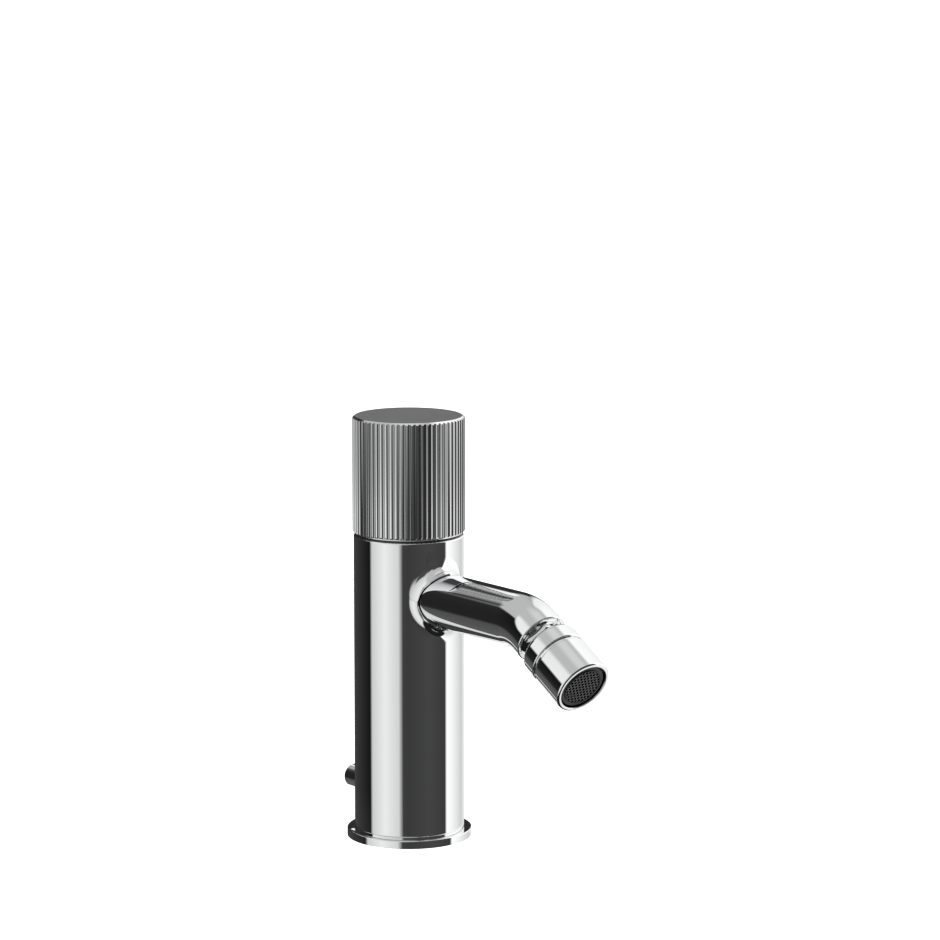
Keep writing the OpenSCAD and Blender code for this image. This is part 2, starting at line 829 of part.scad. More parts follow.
// Hub on the spindle's spline, with the flange that carries the knob and the stop lug
module knob_carrier() {
    flange_r_out = knob_bore_r - 2 * fit_gap;
    color("goldenrod")
        difference() {
            union() {
                translate([0, 0, hub_z])
                    cylinder(r = hub_r, h = hub_top - hub_z);
                translate([0, 0, carrier_flange_z])
                    cylinder(r = flange_r_out, h = carrier_flange_h);
                intersection() {
                    ring(stop_r, hub_r - cut, lug_z, carrier_flange_z + cut);
                    wedge(2 * stop_r, lug_angle - stop_lug_w / 2, lug_angle + stop_lug_w / 2,
                        lug_z - cut, carrier_flange_z + 2 * cut);
                }
            }
            translate([0, 0, hub_z - cut])
                star(spline_r + fit_gap, spline_r - spline_depth + fit_gap, splines,
                    hub_top - hub_roof - hub_z + cut);
            translate([0, 0, hub_z - cut])
                cylinder(r = stem_r + fit_gap, h = spline_z - hub_z + cut + fit_gap);
            translate([0, 0, hub_top - hub_roof - cut])
                cylinder(r = screw_r + loose_gap, h = hub_roof + 2 * cut);
            translate([0, 0, grub_z])
                ring(knob_r, flange_r_out - grub_seat_depth, -screw_r - fit_gap, screw_r + fit_gap);
        }
}

module carrier_screw() {
    head_r = 3.6;
    head_h = 2.6;
    socket_r = 1.7;
    color("silver")
        difference() {
            union() {
                translate([0, 0, hub_top + fit_gap])
                    cylinder(r = head_r, h = head_h);
                translate([0, 0, hub_top - screw_len])
                    cylinder(r = screw_r, h = screw_len + cut);
            }
            translate([0, 0, hub_top + head_h - 1.6])
                cylinder(r = socket_r, h = 1.6 + cut, $fn = 6);
        }
}

module knob_grub_screw() {
    seat_y = knob_bore_r - 2 * fit_gap - grub_seat_depth + fit_gap;
    color("dimgray")
        translate([0, 0, grub_z])
            rotate([-90, 0, 0])
                difference() {
                    translate([0, 0, seat_y])
                        cylinder(r = screw_r, h = grub_len);
                    translate([0, 0, seat_y + grub_len - 1.6])
                        cylinder(r = screw_r / 2, h = 1.6 + cut, $fn = 6);
                }
}

// Spindle: a square foot in the disc carrier, a round shaft with a seal groove, and a spline
module cartridge_stem() {
    color("goldenrod")
        difference() {
            union() {
                translate([-foot_w / 2, -foot_w / 2, disc_carrier_z + foot_lift])
                    cube([foot_w, foot_w, disc_carrier_h]);
                translate([0, 0, disc_carrier_top])
                    cylinder(r = stem_r, h = spline_z - disc_carrier_top);
                translate([0, 0, spline_z - cut])
                    star(spline_r, spline_r - spline_depth, splines, stem_top - spline_z + cut);
            }
            ring(stem_r + cut, stem_r - stem_groove_depth, stem_groove_z, stem_groove_z + groove_w);
            translate([0, 0, hub_top - screw_len - fit_gap])
                cylinder(r = screw_r + fit_gap, h = screw_len);
        }
}

module stem_o_ring() {
    color("black")
        ring(stem_r + run_gap / 2, stem_r - stem_groove_depth + fit_gap / 2,
            stem_groove_z + fit_gap, stem_groove_z + groove_w - fit_gap);
}

// Hub and roof plate joined by two legs, so that water passes between them to the side windows
module disc_carrier() {
    plate_t = 1.6;
    plate_r = disc_r - 0.3;
    leg_w = 3;
    socket_w = foot_w + 2 * fit_gap;
    color("white")
        difference() {
            union() {
                translate([0, 0, disc_carrier_z])
                    cylinder(r = stem_r + 1.5, h = disc_carrier_h);
                translate([0, 0, disc_carrier_top - plate_t])
                    cylinder(r = plate_r, h = plate_t);
                intersection() {
                    translate([0, 0, disc_carrier_z])
                        cylinder(r = plate_r, h = disc_carrier_h);
                    translate([-plate_r, -leg_w / 2, disc_carrier_z])
                        cube([2 * plate_r, leg_w, disc_carrier_h]);
                }
            }
            translate([-socket_w / 2, -socket_w / 2, disc_carrier_z + foot_lift - fit_gap])
                cube([socket_w, socket_w, disc_carrier_h]);
        }
}

module moving_disc() {
    color("whitesmoke")
        difference() {
            translate([0, 0, moving_z])
                cylinder(r = disc_r, h = disc_t);
            intersection() {
                ring(disc_r - 1, 5.9, moving_z - cut, moving_z + disc_t + cut);
                wedge(2 * disc_r, 200, 320, moving_z - cut, moving_z + disc_t + cut);
            }
        }
}

module waste_pin() {
    color("gray")
        at_pin()
            rotate_extrude()
                polygon([
                    [0, pin_root_y], [pin_neck_r, pin_root_y], [pin_neck_r, pin_head_y],
                    [pin_d / 2, pin_head_y], [pin_d / 2, pin_head_y + pin_len - pin_edge],
                    [pin_d / 2 - pin_edge, pin_head_y + pin_len], [0, pin_head_y + pin_len]
                ]);
}

module lift_carriage() {
    color("goldenrod")
        difference() {
            translate([-block_w / 2, block_y, block_z])
                cube([block_w, block_t, block_h]);
            at_pin()
                translate([0, 0, pin_root_y - fit_gap])
                    cylinder(r = pin_neck_r + fit_gap, h = block_t);
            translate([0, rod_y, block_z - cut])
                cylinder(r = rod_d / 2 + fit_gap, h = rod_top - block_z + fit_gap + cut);
        }
}

module lift_rod() {
    color("silver")
        translate([0, rod_y, rod_bottom])
            cylinder(d = rod_d, h = rod_top - rod_bottom);
}

module rod_coupler() {
    color("goldenrod")
        translate([0, rod_y, coupler_z])
            difference() {
                cylinder(r = coupler_r, h = coupler_len);
                translate([0, 0, -cut])
                    cylinder(d = coupler_bore_d, h = coupler_bore_len + cut);
                translate([0, 0, coupler_len - rod_seat])
                    cylinder(r = rod_d / 2 + fit_gap, h = rod_seat + cut);
            }
}

module ball_seat() {
    zone_h = 4.5;
    color("white")
        at_tip()
            intersection() {
                translate([0, 0, ball_s])
                    cylinder(r = cup_r + cut, h = zone_h);
                translate([0, 0, ball_s])
                    difference() {
                        sphere(r = seat_outer_r);
                        sphere(r = ball_r + run_gap);
                    }
            }
}

// Domed ring whose lip runs over the ball and whose thread holds the aerator housing
module swivel_ring() {
    lip_gap = run_gap + 0.02;
    lip_r = sqrt(pow(ball_r + lip_gap, 2) - pow(ball_s - lip_s, 2));
    lip_end_r = sqrt(pow(ball_r + lip_gap, 2) - pow(ball_s - lip_end, 2));
    foot_edge = 0.5;
    color("silver")
        at_tip()
            rotate_extrude()
                polygon(concat(
                    [[cup_r, lip_end], [lip_end_r, lip_end], [lip_r, lip_s], [rim_r, ring_z]],
                    arc(ring_r - ring_dome, ring_z + ring_dome, ring_dome, -90, 0, 6),
                    arc(ring_r - foot_edge, ring_end - foot_edge, foot_edge, 0, 90),
                    [[cup_thread_r + fit_gap, ring_end], [cup_thread_r + fit_gap, cup_thread_s - 0.1],
                    [cup_r, cup_thread_s - 0.1]]
                ));
}

module aerator_shell() {
    top_edge = 0.5;
    color("silver")
        at_tip()
            difference() {
                rotate_extrude()
                    polygon(concat(
                        [[0, cup_thread_s], [cup_thread_r, cup_thread_s],
                        [cup_thread_r, ring_end + fit_gap],
                        [shell_r - groove_depth, ring_end + fit_gap],
                        [shell_r - groove_depth, shell_z]],
                        arc(shell_r - top_edge, shell_z + top_edge, top_edge, -90, 0),
                        arc(shell_r - shell_edge, nozzle_end - shell_edge, shell_edge, 0, 60),
                        [[shell_r - shell_edge + 0.25, nozzle_end], [0, nozzle_end]]
                    ));
                translate([0, 0, ball_s])
                    sphere(r = cup_r);
                translate([0, 0, ball_s])
                    cylinder(r = throat_r, h = nozzle_end);
                translate([0, 0, aerator_s])
                    cylinder(r = mouth_r, h = nozzle_end);
            }
}

module aerator_washer() {
    color("black")
        at_tip()
            ring(mouth_r - 0.1, throat_r + 1, aerator_s, aerator_s + washer_t);
}

module mesh_screen() {
    mesh_r = mouth_r - 0.2;
    pitch = 2;
    hole = 1.4;
    reach = floor((throat_r + 1) / pitch);
    color("lightgray")
        at_tip()
            translate([0, 0, mesh_s])
                linear_extrude(mesh_t)
                    difference() {
                        circle(r = mesh_r);
                        for (i = [-reach:reach], j = [-reach:reach])
                            if (norm([i, j]) * pitch < throat_r)
                                translate([i * pitch, j * pitch])
                                    square(hole, center = true);
                    }
}

module flow_regulator() {
    color("royalblue")
        at_tip()
            translate([0, 0, insert_s + fit_gap]) {
                ring(regulator_r, regulator_r - 1.2, 0, regulator_t);
                for (side = [0:2])
                    rotate([0, 0, side * 60])
                        translate([-regulator_r + 0.6, -0.5, 0])
                            cube([2 * regulator_r - 1.2, 1, regulator_t]);
            }
}

module aerator_insert() {
    pocket_r = regulator_r + fit_gap;
    pocket_t = regulator_t + 2 * fit_gap;
    color("dimgray")
        at_tip()
            rotate_extrude()
                polygon([
                    [pocket_r, insert_s], [mouth_r - fit_gap, insert_s],
                    [mouth_r - fit_gap, insert_s + insert_flange_h],
                    [insert_r, insert_s + insert_flange_h], [insert_r, insert_end - 0.3],
                    [insert_r - 0.3, insert_end], [insert_bore_r, insert_end],
                    [insert_bore_r, insert_s + pocket_t + 1.4], [regulator_r - 1, insert_s + pocket_t + 1.4],
                    [regulator_r - 1, insert_s + pocket_t], [pocket_r, insert_s + pocket_t]
                ]);
}

module outlet_grille() {
    field_r = grille_r - 1;
    reach = ceil(field_r / grille_pitch) + 2;
    color("dimgray")
        at_tip()
            translate([0, 0, insert_end - grille_t])
                linear_extrude(grille_t)
                    difference() {
                        circle(r = grille_r);
                        for (row = [-reach:reach], column = [-reach:reach])
                            let (
                                x = grille_pitch * (column + row / 2),
                                y = grille_pitch * row * cos(30)
                            )
                            if (norm([x, y]) < field_r)
                                translate([x, y])
                                    rotate([0, 0, 30])
                                        circle(r = grille_hole / 2 / cos(30), $fn = 6);
                    }
}

base_flange();
base_gasket();
valve_body();
column_shell();
spout_collar();
spout_tube();
spout_o_ring();
spout_end();
swivel_nipple();
swivel_ball();
port_seals();
cartridge_base();
cartridge_body();
cartridge_o_ring();
fixed_disc();
retaining_nut();
limit_ring();
glide_ring();
carriage_guide();
knob_shell();
knob_carrier();
carrier_screw();
knob_grub_screw();
cartridge_stem();
stem_o_ring();
disc_carrier();
moving_disc();
waste_pin();
lift_carriage();
lift_rod();
rod_coupler();
ball_seat();
swivel_ring();
aerator_shell();
aerator_washer();
mesh_screen();
flow_regulator();
aerator_insert();
outlet_grille();
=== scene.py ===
# %% [markdown]
# # A bidet mixer in polished chrome
# The real object is a slim brass column with a fluted turning knob, a bent spout and a swivelling
# aerator. Its working parts are already here as exact solids, so this lesson makes only what the
# eye reads first: smooth chrome skins, worked out as surfaces of two parameters, and a finish for
# every part. Lengths are in millimetres and become metres as the meshes are made.

import bmesh
import bpy
import numpy as np
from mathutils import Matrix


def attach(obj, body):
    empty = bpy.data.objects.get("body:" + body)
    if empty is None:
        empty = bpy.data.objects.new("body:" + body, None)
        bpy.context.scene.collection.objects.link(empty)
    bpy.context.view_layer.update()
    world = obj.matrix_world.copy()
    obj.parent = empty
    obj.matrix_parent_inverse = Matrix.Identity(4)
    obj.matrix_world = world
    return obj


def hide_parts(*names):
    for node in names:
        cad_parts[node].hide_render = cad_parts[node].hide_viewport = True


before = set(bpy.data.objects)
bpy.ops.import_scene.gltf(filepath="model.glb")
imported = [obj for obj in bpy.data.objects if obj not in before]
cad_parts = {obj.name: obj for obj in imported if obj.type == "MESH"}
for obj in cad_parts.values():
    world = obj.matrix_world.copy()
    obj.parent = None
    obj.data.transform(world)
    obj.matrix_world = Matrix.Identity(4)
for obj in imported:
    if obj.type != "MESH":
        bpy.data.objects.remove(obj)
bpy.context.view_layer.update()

MM = 0.001

# %% [markdown]
# ## The camera
# The picture was taken with a long lens from the front left and a little above, so that upright
# edges stay parallel. A long lens on a camera that is tipped down by a few degrees gives the same
# view and keeps the lens shift at nothing, which other views need.

# %% Camera at the picture's viewing angle
CAMERA_TURN = np.radians(-37.448)
CAMERA_TIP = np.radians(9.397)
lens = bpy.data.cameras.new("picture_camera")
lens.lens = 151.18
lens.sensor_width = 36.0
lens.clip_end = 20.0
camera = bpy.data.objects.new("picture_camera", lens)
camera.location = (-0.87934, -1.18640, 0.38615)
camera.rotation_euler = (np.pi / 2 - CAMERA_TIP, 0.0, CAMERA_TURN)
bpy.context.scene.collection.objects.link(camera)
bpy.context.scene.camera = camera
bpy.context.scene.view_settings.view_transform = "Standard"
print("camera:", [round(v, 3) for v in camera.location])

# %% [markdown]
# ## Sizes
# Each size is written once. The spout leaves the column along -Y, bends down by 30 degrees and
# ends in the nozzle; a place along the nozzle is measured from the end of the tube.

# %% Sizes in millimetres
COLUMN_R, COLUMN_BORE_R, COLUMN_Z, COLUMN_TOP = 21.0, 18.5, 3.6, 117.2
FLANGE_R, FLANGE_H, SHADOW_R = 23.9, 3.1, 20.4
KNOB_R, KNOB_Z, KNOB_TOP = 21.45, 118.0, 162.8
RIM_R, RIM_SLOPE, FOOT_R, FOOT_SLOPE = 20.4, 0.8, 20.6, 0.85
FLUTES, FLUTE_DEPTH, CREST_W, FLANK_RUN, FIRST_CREST = 66, 0.5, 0.6, 0.36, 2.41
FLANK_SHARE = 0.88
SPOUT_Z, TUBE_R, TUBE_BORE_R, STRAIGHT_LEN = 94.9, 10.35, 8.85, 66.6
BEND_R, BEND_ANGLE, TIP_LEN = 23.5, np.radians(30), 3.6
COLLAR_R, COLLAR_GAP, LIP_ANGLE, GAP_DEPTH = 5.5, 0.45, 0.1, 1.2
BALL_R, BALL_S, CUP_R = 8.0, 7.5, 9.25
HEX_TURN, HEX_CONE, GRILLE_S = 19, 0.45, 27.55
PIN_R, PIN_Z, PIN_NECK_R, PIN_HEAD_Y, PIN_LEN = 4.45, 16.05, 2.5, 21.4, 15.4
LIFT_TRAVEL, SLOT_R = 12.0, 2.65
BEND_LEN = BEND_R * BEND_ANGLE
SPOUT_LEN = STRAIGHT_LEN + BEND_LEN + TIP_LEN

# %% [markdown]
# ## Places
# A turned part is easiest to draw about its own axis. A place is an origin with three directions,
# and it carries points from that drawing to where the part sits on the mixer.

# %% Places of the turned parts
TIP_DOWN = np.array([0.0, -np.cos(BEND_ANGLE), -np.sin(BEND_ANGLE)])
TIP_UP = np.array([0.0, -np.sin(BEND_ANGLE), np.cos(BEND_ANGLE)])
ACROSS, BACKWARD, UP = np.eye(3)
BEND_END = np.array([0.0, -STRAIGHT_LEN - BEND_R * np.sin(BEND_ANGLE),
                     SPOUT_Z - BEND_R * (1 - np.cos(BEND_ANGLE))])
AT_DECK = (np.zeros(3), ACROSS, BACKWARD, UP)
AT_SPOUT = (SPOUT_Z * UP, ACROSS, UP, -BACKWARD)
AT_TIP = (BEND_END + TIP_LEN * TIP_DOWN, ACROSS, TIP_UP, TIP_DOWN)
AT_PIN = (PIN_Z * UP, ACROSS, -UP, BACKWARD)


def placed(points, place):
    """Point (x, y, s) of a drawing goes to origin + x * first + y * second + s * axis."""
    origin, first, second, axis = place
    return origin + points @ np.stack([first, second, axis])


print("nozzle starts at", np.round(AT_TIP[0], 2))

# %% [markdown]
# ## Surfaces as grids
# A surface of two parameters is a table of points with rows and columns. Its faces join
# neighbouring points, and where a parameter runs round, the last row or column meets the first.

# %% Faces of a grid
def grid_faces(rows, columns, rows_close=True, columns_close=True):
    """Face (i, j) joins points (i, j), (i, j+1), (i+1, j+1) and (i+1, j), taken round where closed."""
    i, j = np.meshgrid(np.arange(rows if rows_close else rows - 1),
                       np.arange(columns if columns_close else columns - 1), indexing="ij")
    below, beside = (i + 1) % rows, (j + 1) % columns
    corners = [i * columns + j, i * columns + beside, below * columns + beside, below * columns + j]
    return np.stack(corners, -1).reshape(-1, 4)


def rounded(corners, steps=5, guard=0.04):
    """Closed outline whose corner (r, s, radius) becomes an arc tangent to both its sides.
    An arc lies at its radius / sin(half angle) along the bisector, and a guard point on each side
    keeps the long flat faces next to it from shading as if they were bent."""
    corners = np.array([c if len(c) == 3 else (*c, 0.0) for c in corners], float)
    spots, radii = corners[:, :2], corners[:, 2]
    outline = []
    for before, spot, after, radius in zip(np.roll(spots, 1, 0), spots, np.roll(spots, -1, 0), radii):
        back = (before - spot) / np.linalg.norm(before - spot)
        on = (after - spot) / np.linalg.norm(after - spot)
        if radius == 0:
            outline.append(spot[None])
            continue
        half = np.arccos(np.clip(back @ on, -1, 1)) / 2
        reach = radius / np.tan(half)
        centre = spot + (back + on) / np.linalg.norm(back + on) * radius / np.sin(half)
        start, end = spot + back * reach - centre, spot + on * reach - centre
        sweep = np.pi - 2 * half
        share = np.linspace(0, 1, steps + 1)[:, None]
        arc = np.sin((1 - share) * sweep) * start + np.sin(share * sweep) * end
        arc = centre + arc / np.sin(sweep)
        outline += [spot[None] + back * (reach + guard), arc, spot[None] + on * (reach + guard)]
    return np.concatenate(outline)


# %% A finished piece
def piece(name, points, faces, body, stands_for, slot, crease=28, closed=True):
    """Object at the origin from points in millimetres, with outward faces and closed seams."""
    mesh = bpy.data.meshes.new(name)
    mesh.from_pydata((points.reshape(-1, 3) * MM).tolist(), [], faces.tolist())
    work = bmesh.new()
    work.from_mesh(mesh)
    bmesh.ops.remove_doubles(work, verts=work.verts, dist=1e-7)
    if closed and work.calc_volume(signed=True) < 0:
        bmesh.ops.reverse_faces(work, faces=work.faces)
    open_edges = sum(not edge.is_manifold for edge in work.edges)
    work.to_mesh(mesh)
    work.free()
    mesh.shade_smooth()
    mesh.set_sharp_from_angle(angle=np.radians(crease))
    thing = bpy.data.objects.new(name, mesh)
    bpy.context.scene.collection.objects.link(thing)
    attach(thing, body)
    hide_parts(*stands_for)
    print(f"{name}: {len(mesh.vertices)} points, {len(mesh.polygons)} faces, {open_edges} open edges")
    return thing


def turned(name, outline, place, body, stands_for, slot, segments=160):
    """Closed outline (r, s) turned about its axis: x = r cos a, y = r sin a, for a full turn of a."""
    angle = np.linspace(0, 2 * np.pi, segments, endpoint=False)
    r, s = outline[:, 0, None], outline[:, 1, None]
    points = np.stack([r * np.cos(angle), r * np.sin(angle), s + 0 * angle], -1)
    closes = outline[0, 0] > 0
    faces = grid_faces(len(outline), segments, rows_close=closes)
    return piece(name, placed(points, place), faces, body, stands_for, slot)


# %% [markdown]
# ## The base flange
# A turned ring spreads the column's foot on the deck. Its outline has the groove for the gasket
# underneath, a small rounding on the rim that catches the light, and the step that makes the dark
# gap below the column. Turning that closed outline gives a ring with no seam left open.

# %% Base flange
base = turned("base_ring", rounded([
    (18.4, 0), (19.75, 0), (19.75, 1.45), (22.05, 1.45), (22.05, 0), (FLANGE_R, 0, 0.12),
    (FLANGE_R, FLANGE_H, 0.35), (SHADOW_R, FLANGE_H), (SHADOW_R, COLUMN_Z), (18.4, COLUMN_Z),
]), AT_DECK, "column", ["base_flange"], "chrome", 240)

# %% [markdown]
# ## The column
# The column is a tube with a round hole for the spout and a slot at the back for the lift pin. A
# boolean cut would leave long thin faces, and these show as streaks in polished metal. So the
# grid leaves out a block of faces at each hole, and a patch of rings joins the hole to the block.

# %% Column tube with two holes
def column_tube():
    """Outer and inner skin at (radius cos a, radius sin a, z), with two blocks left open, and for
    each block rings that run from the block's edge to the hole, through the wall and out again.
    A ring point keeps its direction from the hole's middle line, and y = root(radius^2 - x^2)."""
    degrees = np.arange(0, 360, 2)
    heights = np.concatenate([[0.55, 0.65, 6.4], np.arange(8.4, 31, 2), [46, 62, 78.3],
                              np.linspace(80.3, 102.3, 12), [104.3, 112.95, 113.05]]) + COLUMN_Z
    edge = np.radians(np.linspace(0, 90, 6))
    inner = COLUMN_R - 0.5 + 0.5 * np.cos(edge)
    rise = 0.5 * np.sin(edge)
    outline = np.concatenate([
        np.stack([inner[::-1], COLUMN_Z + 0.5 - rise[::-1]], 1)[:-1], [[COLUMN_R, COLUMN_Z + 0.5]],
        np.stack([0 * heights + COLUMN_R, heights], 1),
        np.stack([inner, COLUMN_TOP - 0.5 + rise], 1),
        [[COLUMN_BORE_R, COLUMN_TOP]],
        np.stack([0 * heights + COLUMN_BORE_R, heights[::-1]], 1),
        [[COLUMN_BORE_R, COLUMN_Z]],
    ])
    angle = np.radians(degrees)
    points = np.stack([outline[:, :1] * np.cos(angle), outline[:, :1] * np.sin(angle),
                       outline[:, 1:] + 0 * angle], -1)
    faces = grid_faces(*points.shape[:2])
    keep = np.ones(len(faces), bool).reshape(points.shape[:2])
    parts, joins, offset = [points.reshape(-1, 3)], [], points.shape[0] * points.shape[1]
    for side, middle, half, low, high, line, hole, bevel in (
            (-1, 270, 36, heights[17], heights[28], (SPOUT_Z, SPOUT_Z), TUBE_R + 0.05, 0.0),
            (1, 90, 12, heights[3], heights[14], (PIN_Z, PIN_Z + LIFT_TRAVEL), SLOT_R, 0.2)):
        mid_z = (outline[:, 1] + np.roll(outline[:, 1], -1)) / 2
        in_rows = (mid_z > low) & (mid_z < high)
        in_columns = (degrees + 1 > middle - half) & (degrees + 1 < middle + half)
        keep &= ~(in_rows[:, None] & in_columns[None])
        levels = heights[(heights > low - 0.01) & (heights < high + 0.01)]
        turns = np.radians(np.arange(middle - half, middle + half + 1, 2))
        ring_a = np.concatenate([turns, np.full(len(levels) - 2, turns[-1]), turns[::-1],
                                 np.full(len(levels) - 2, turns[0])])
        ring_z = np.concatenate([0 * turns + low, levels[1:-1], 0 * turns + high, levels[-2:0:-1]])
        on_line = np.clip(ring_z, *line)
        away = np.stack([COLUMN_R * np.cos(ring_a), ring_z - on_line], 1)
        away /= np.linalg.norm(away, axis=1, keepdims=True)
        rings = []
        for radius, shares, turn in ((COLUMN_R, np.array([1, 0.8, 0.6, 0.4, 0.25, 0.12]), 1),
                                     (COLUMN_BORE_R, np.array([0.25, 0.6, 1]), 0)):
            for share in shares:
                x = share * radius * np.cos(ring_a) + (1 - share) * (hole + bevel * turn) * away[:, 0]
                z = share * ring_z + (1 - share) * (on_line + (hole + bevel * turn) * away[:, 1])
                rings.append(np.stack([x, side * np.sqrt(radius ** 2 - x ** 2), z], 1))
            if turn:
                for lean in np.radians(np.linspace(0, 90, 5)):
                    out = hole + bevel * (1 - np.sin(lean))
                    x, z = out * away[:, 0], on_line + out * away[:, 1]
                    depth = COLUMN_R - bevel * (1 - np.cos(lean))
                    rings.append(np.stack([x, side * np.sqrt(depth ** 2 - x ** 2), z], 1))
                x, z = hole * away[:, 0], on_line + hole * away[:, 1]
                rings.append(np.stack([x, side * np.sqrt(COLUMN_BORE_R ** 2 - x ** 2), z], 1))
        patch = grid_faces(len(rings), len(ring_a), rows_close=False)
        joins.append(patch[:, ::-1] + offset)
        parts.append(np.concatenate(rings))
        offset += len(rings) * len(ring_a)
    return np.concatenate(parts), np.concatenate([faces[keep.ravel()], *joins])


column = piece("column_tube", *column_tube(), "column", ["column_shell"], "chrome")

# %% [markdown]
# ## The flare between column and spout
# On the real mixer the spout grows out of the column through a soft hollow. That is the surface
# that a ball leaves when it rolls round the spout while it touches the column: for each direction
# round the spout its section is an arc of the ball. The arc stops just short of the tube, so a
# narrow dark gap runs round the spout.

# %% Flare
def flare():
    """For direction t the ball's centre is (R cos t, R sin t) round the spout, R = hole + ball, at the
    height where it is one ball radius off the column. Its arc runs between both contact points."""
    t = np.linspace(0, 2 * np.pi, 144, endpoint=False)
    reach = TUBE_R + COLLAR_GAP + COLLAR_R
    w, z = reach * np.cos(t), reach * np.sin(t)
    u = np.sqrt((COLUMN_R + COLLAR_R) ** 2 - w ** 2)
    centre = np.stack([w, z, u], 1)
    to_tube = np.stack([np.cos(t), np.sin(t), 0 * t], 1)
    to_column = np.stack([w, 0 * t, u], 1) / (COLUMN_R + COLLAR_R)
    span = np.arccos((to_tube * to_column).sum(1, keepdims=True))
    step = LIP_ANGLE / span
    share = step + (1 - step) * np.linspace(0, 1, 19)[:, None, None]
    arc = centre - COLLAR_R * (np.sin(span * (1 - share)) * to_tube
                               + np.sin(span * share) * to_column) / np.sin(span)
    round_tube = np.stack([np.cos(t), np.sin(t)], 1)
    skin, under = TUBE_R - 0.03, COLUMN_R - 0.03

    def on_column(x, up):
        return np.stack([x, up, np.sqrt(under ** 2 - x ** 2)], 1)

    foot = arc[-1]
    spread = foot[:, :2] - 0.3 * (round_tube * skin - foot[:, :2]) / np.linalg.norm(
        round_tube * skin - foot[:, :2], axis=1, keepdims=True)
    rim = np.linalg.norm(arc[0][:, :2], axis=1, keepdims=True) - 0.04
    lip_u = arc[0][:, 2:] + 0.02
    gap_floor = lip_u - GAP_DEPTH
    rows = [np.concatenate([round_tube * skin, gap_floor], 1),
            np.concatenate([round_tube * rim, gap_floor], 1),
            np.concatenate([round_tube * rim, lip_u], 1), *arc,
            on_column(*spread.T), on_column(*(round_tube * skin).T)]
    points = np.stack(rows)
    return placed(points, AT_SPOUT), grid_faces(*points.shape[:2])


collar = piece("spout_flare", *flare(), "column", ["spout_collar"], "chrome", crease=50)

# %% [markdown]
# ## The spout
# The spout is one bent tube. Its outline, drawn as radius against the length along the tube, is
# carried along the centre line: straight, round a bend of constant radius, and straight again. The
# same closed outline holds the bore, the threaded bush in the mouth and the spigot in the column.

# %% Carry an outline along the spout
def along_spout(outline, segments=144):
    """Centre and up direction at length s from the column's axis, then
    centre + r (cos a across + sin a up)."""
    r, s = outline[:, 0], outline[:, 1]
    turn = np.clip((s - STRAIGHT_LEN) / BEND_R, 0, BEND_ANGLE)
    straight = np.minimum(s, STRAIGHT_LEN)
    tip = np.maximum(s - STRAIGHT_LEN - BEND_LEN, 0)
    centre = np.stack([0 * s, -straight - BEND_R * np.sin(turn) - tip * np.cos(BEND_ANGLE),
                       SPOUT_Z - BEND_R * (1 - np.cos(turn)) - tip * np.sin(BEND_ANGLE)], 1)
    up = np.stack([0 * s, -np.sin(turn), np.cos(turn)], 1)
    a = np.linspace(0, 2 * np.pi, segments, endpoint=False)[None, :, None]
    ring = np.cos(a) * ACROSS + np.sin(a) * up[:, None]
    return centre[:, None] + r[:, None, None] * ring, grid_faces(len(outline), segments)


end = SPOUT_LEN
lip = rounded([(TUBE_R, end - 6), (TUBE_R, end, 0.45), (TUBE_BORE_R, end, 0.12),
               (TUBE_BORE_R, end - 0.6), (6.95, end - 0.6), (6.95, end - 9)])[1:]
bend = np.linspace(STRAIGHT_LEN, STRAIGHT_LEN + BEND_LEN, 37)
spout_outline = np.concatenate([
    [[6.3, 14.75], [8.2, 14.75], [8.2, 14.95], [7.4, 14.95], [7.4, 16.55], [8.2, 16.55], [8.2, 18.45],
     [TUBE_R, 18.45], [TUBE_R, 30], [TUBE_R, 48], [TUBE_R, STRAIGHT_LEN - 0.4]],
    np.stack([0 * bend + TUBE_R, bend], 1), lip, [[7.9, end - 9], [8.8, end - TIP_LEN - 0.05]],
    np.stack([0 * bend + TUBE_BORE_R, bend[::-1]], 1)[::3], [[TUBE_BORE_R, 21.45], [6.3, 19.45]],
])
spout = piece("spout", *along_spout(spout_outline), "column", ["spout_tube", "spout_end"], "chrome")

# %% [markdown]
# ## The swivel joint
# A hexagon nipple screws into the tube, a ball stands on it, and a domed ring runs over the ball.
# The hexagon is a turned outline whose radius is also limited by six flats, so its chamfer gets
# the curved edge that a real turned hexagon has.

# %% Hexagon nipple
def hexagon():
    """Radius at angle a is the smaller of flat / cos(a) and a turned corner; a cone cuts both ends."""
    flat, cone, corner = 7.5, 1.26, 8.7
    sector = np.radians([-29.9, -29.4, -28, -25, -20, -12, 0, 12, 20, 25, 28, 29.4, 29.9])
    a = (sector[None] + np.radians(np.arange(6) * 60 + HEX_TURN)[:, None]).ravel()
    r = np.minimum(np.tile(flat / np.cos(sector), 6), corner)
    one = np.ones_like(r)
    rows = [(4.4 * one, -8 * one), (6.7 * one, -8 * one), (6.9 * one, -7.8 * one),
            (6.9 * one, -0.55 * one), (np.minimum(r, 7.62), -0.55 * one),
            (r, -0.55 + np.maximum(r - 7.62, 0) / HEX_CONE), (r, 3.3 - (r - 7.4) / cone),
            (7.4 * one, 3.3 * one), (5.05 * one, 3.3 * one),
            (5.05 * one, -3.05 * one), (4.4 * one, -3.05 * one)]
    points = np.stack([np.stack([r * np.cos(a), r * np.sin(a), s], 1) for r, s in rows])
    return placed(points, AT_TIP), grid_faces(*points.shape[:2])


nipple = piece("hexagon_nipple", *hexagon(), "column", ["swivel_nipple"], "chrome", crease=20)

# %% Ball, swivel ring, housing and insert
def sphere_arc(radius, start, stop, steps):
    """Points (radius sin b, centre - radius cos b) of a ball about the nozzle's axis."""
    b = np.linspace(start, stop, steps)
    return np.stack([radius * np.sin(b), BALL_S - radius * np.cos(b)], 1)


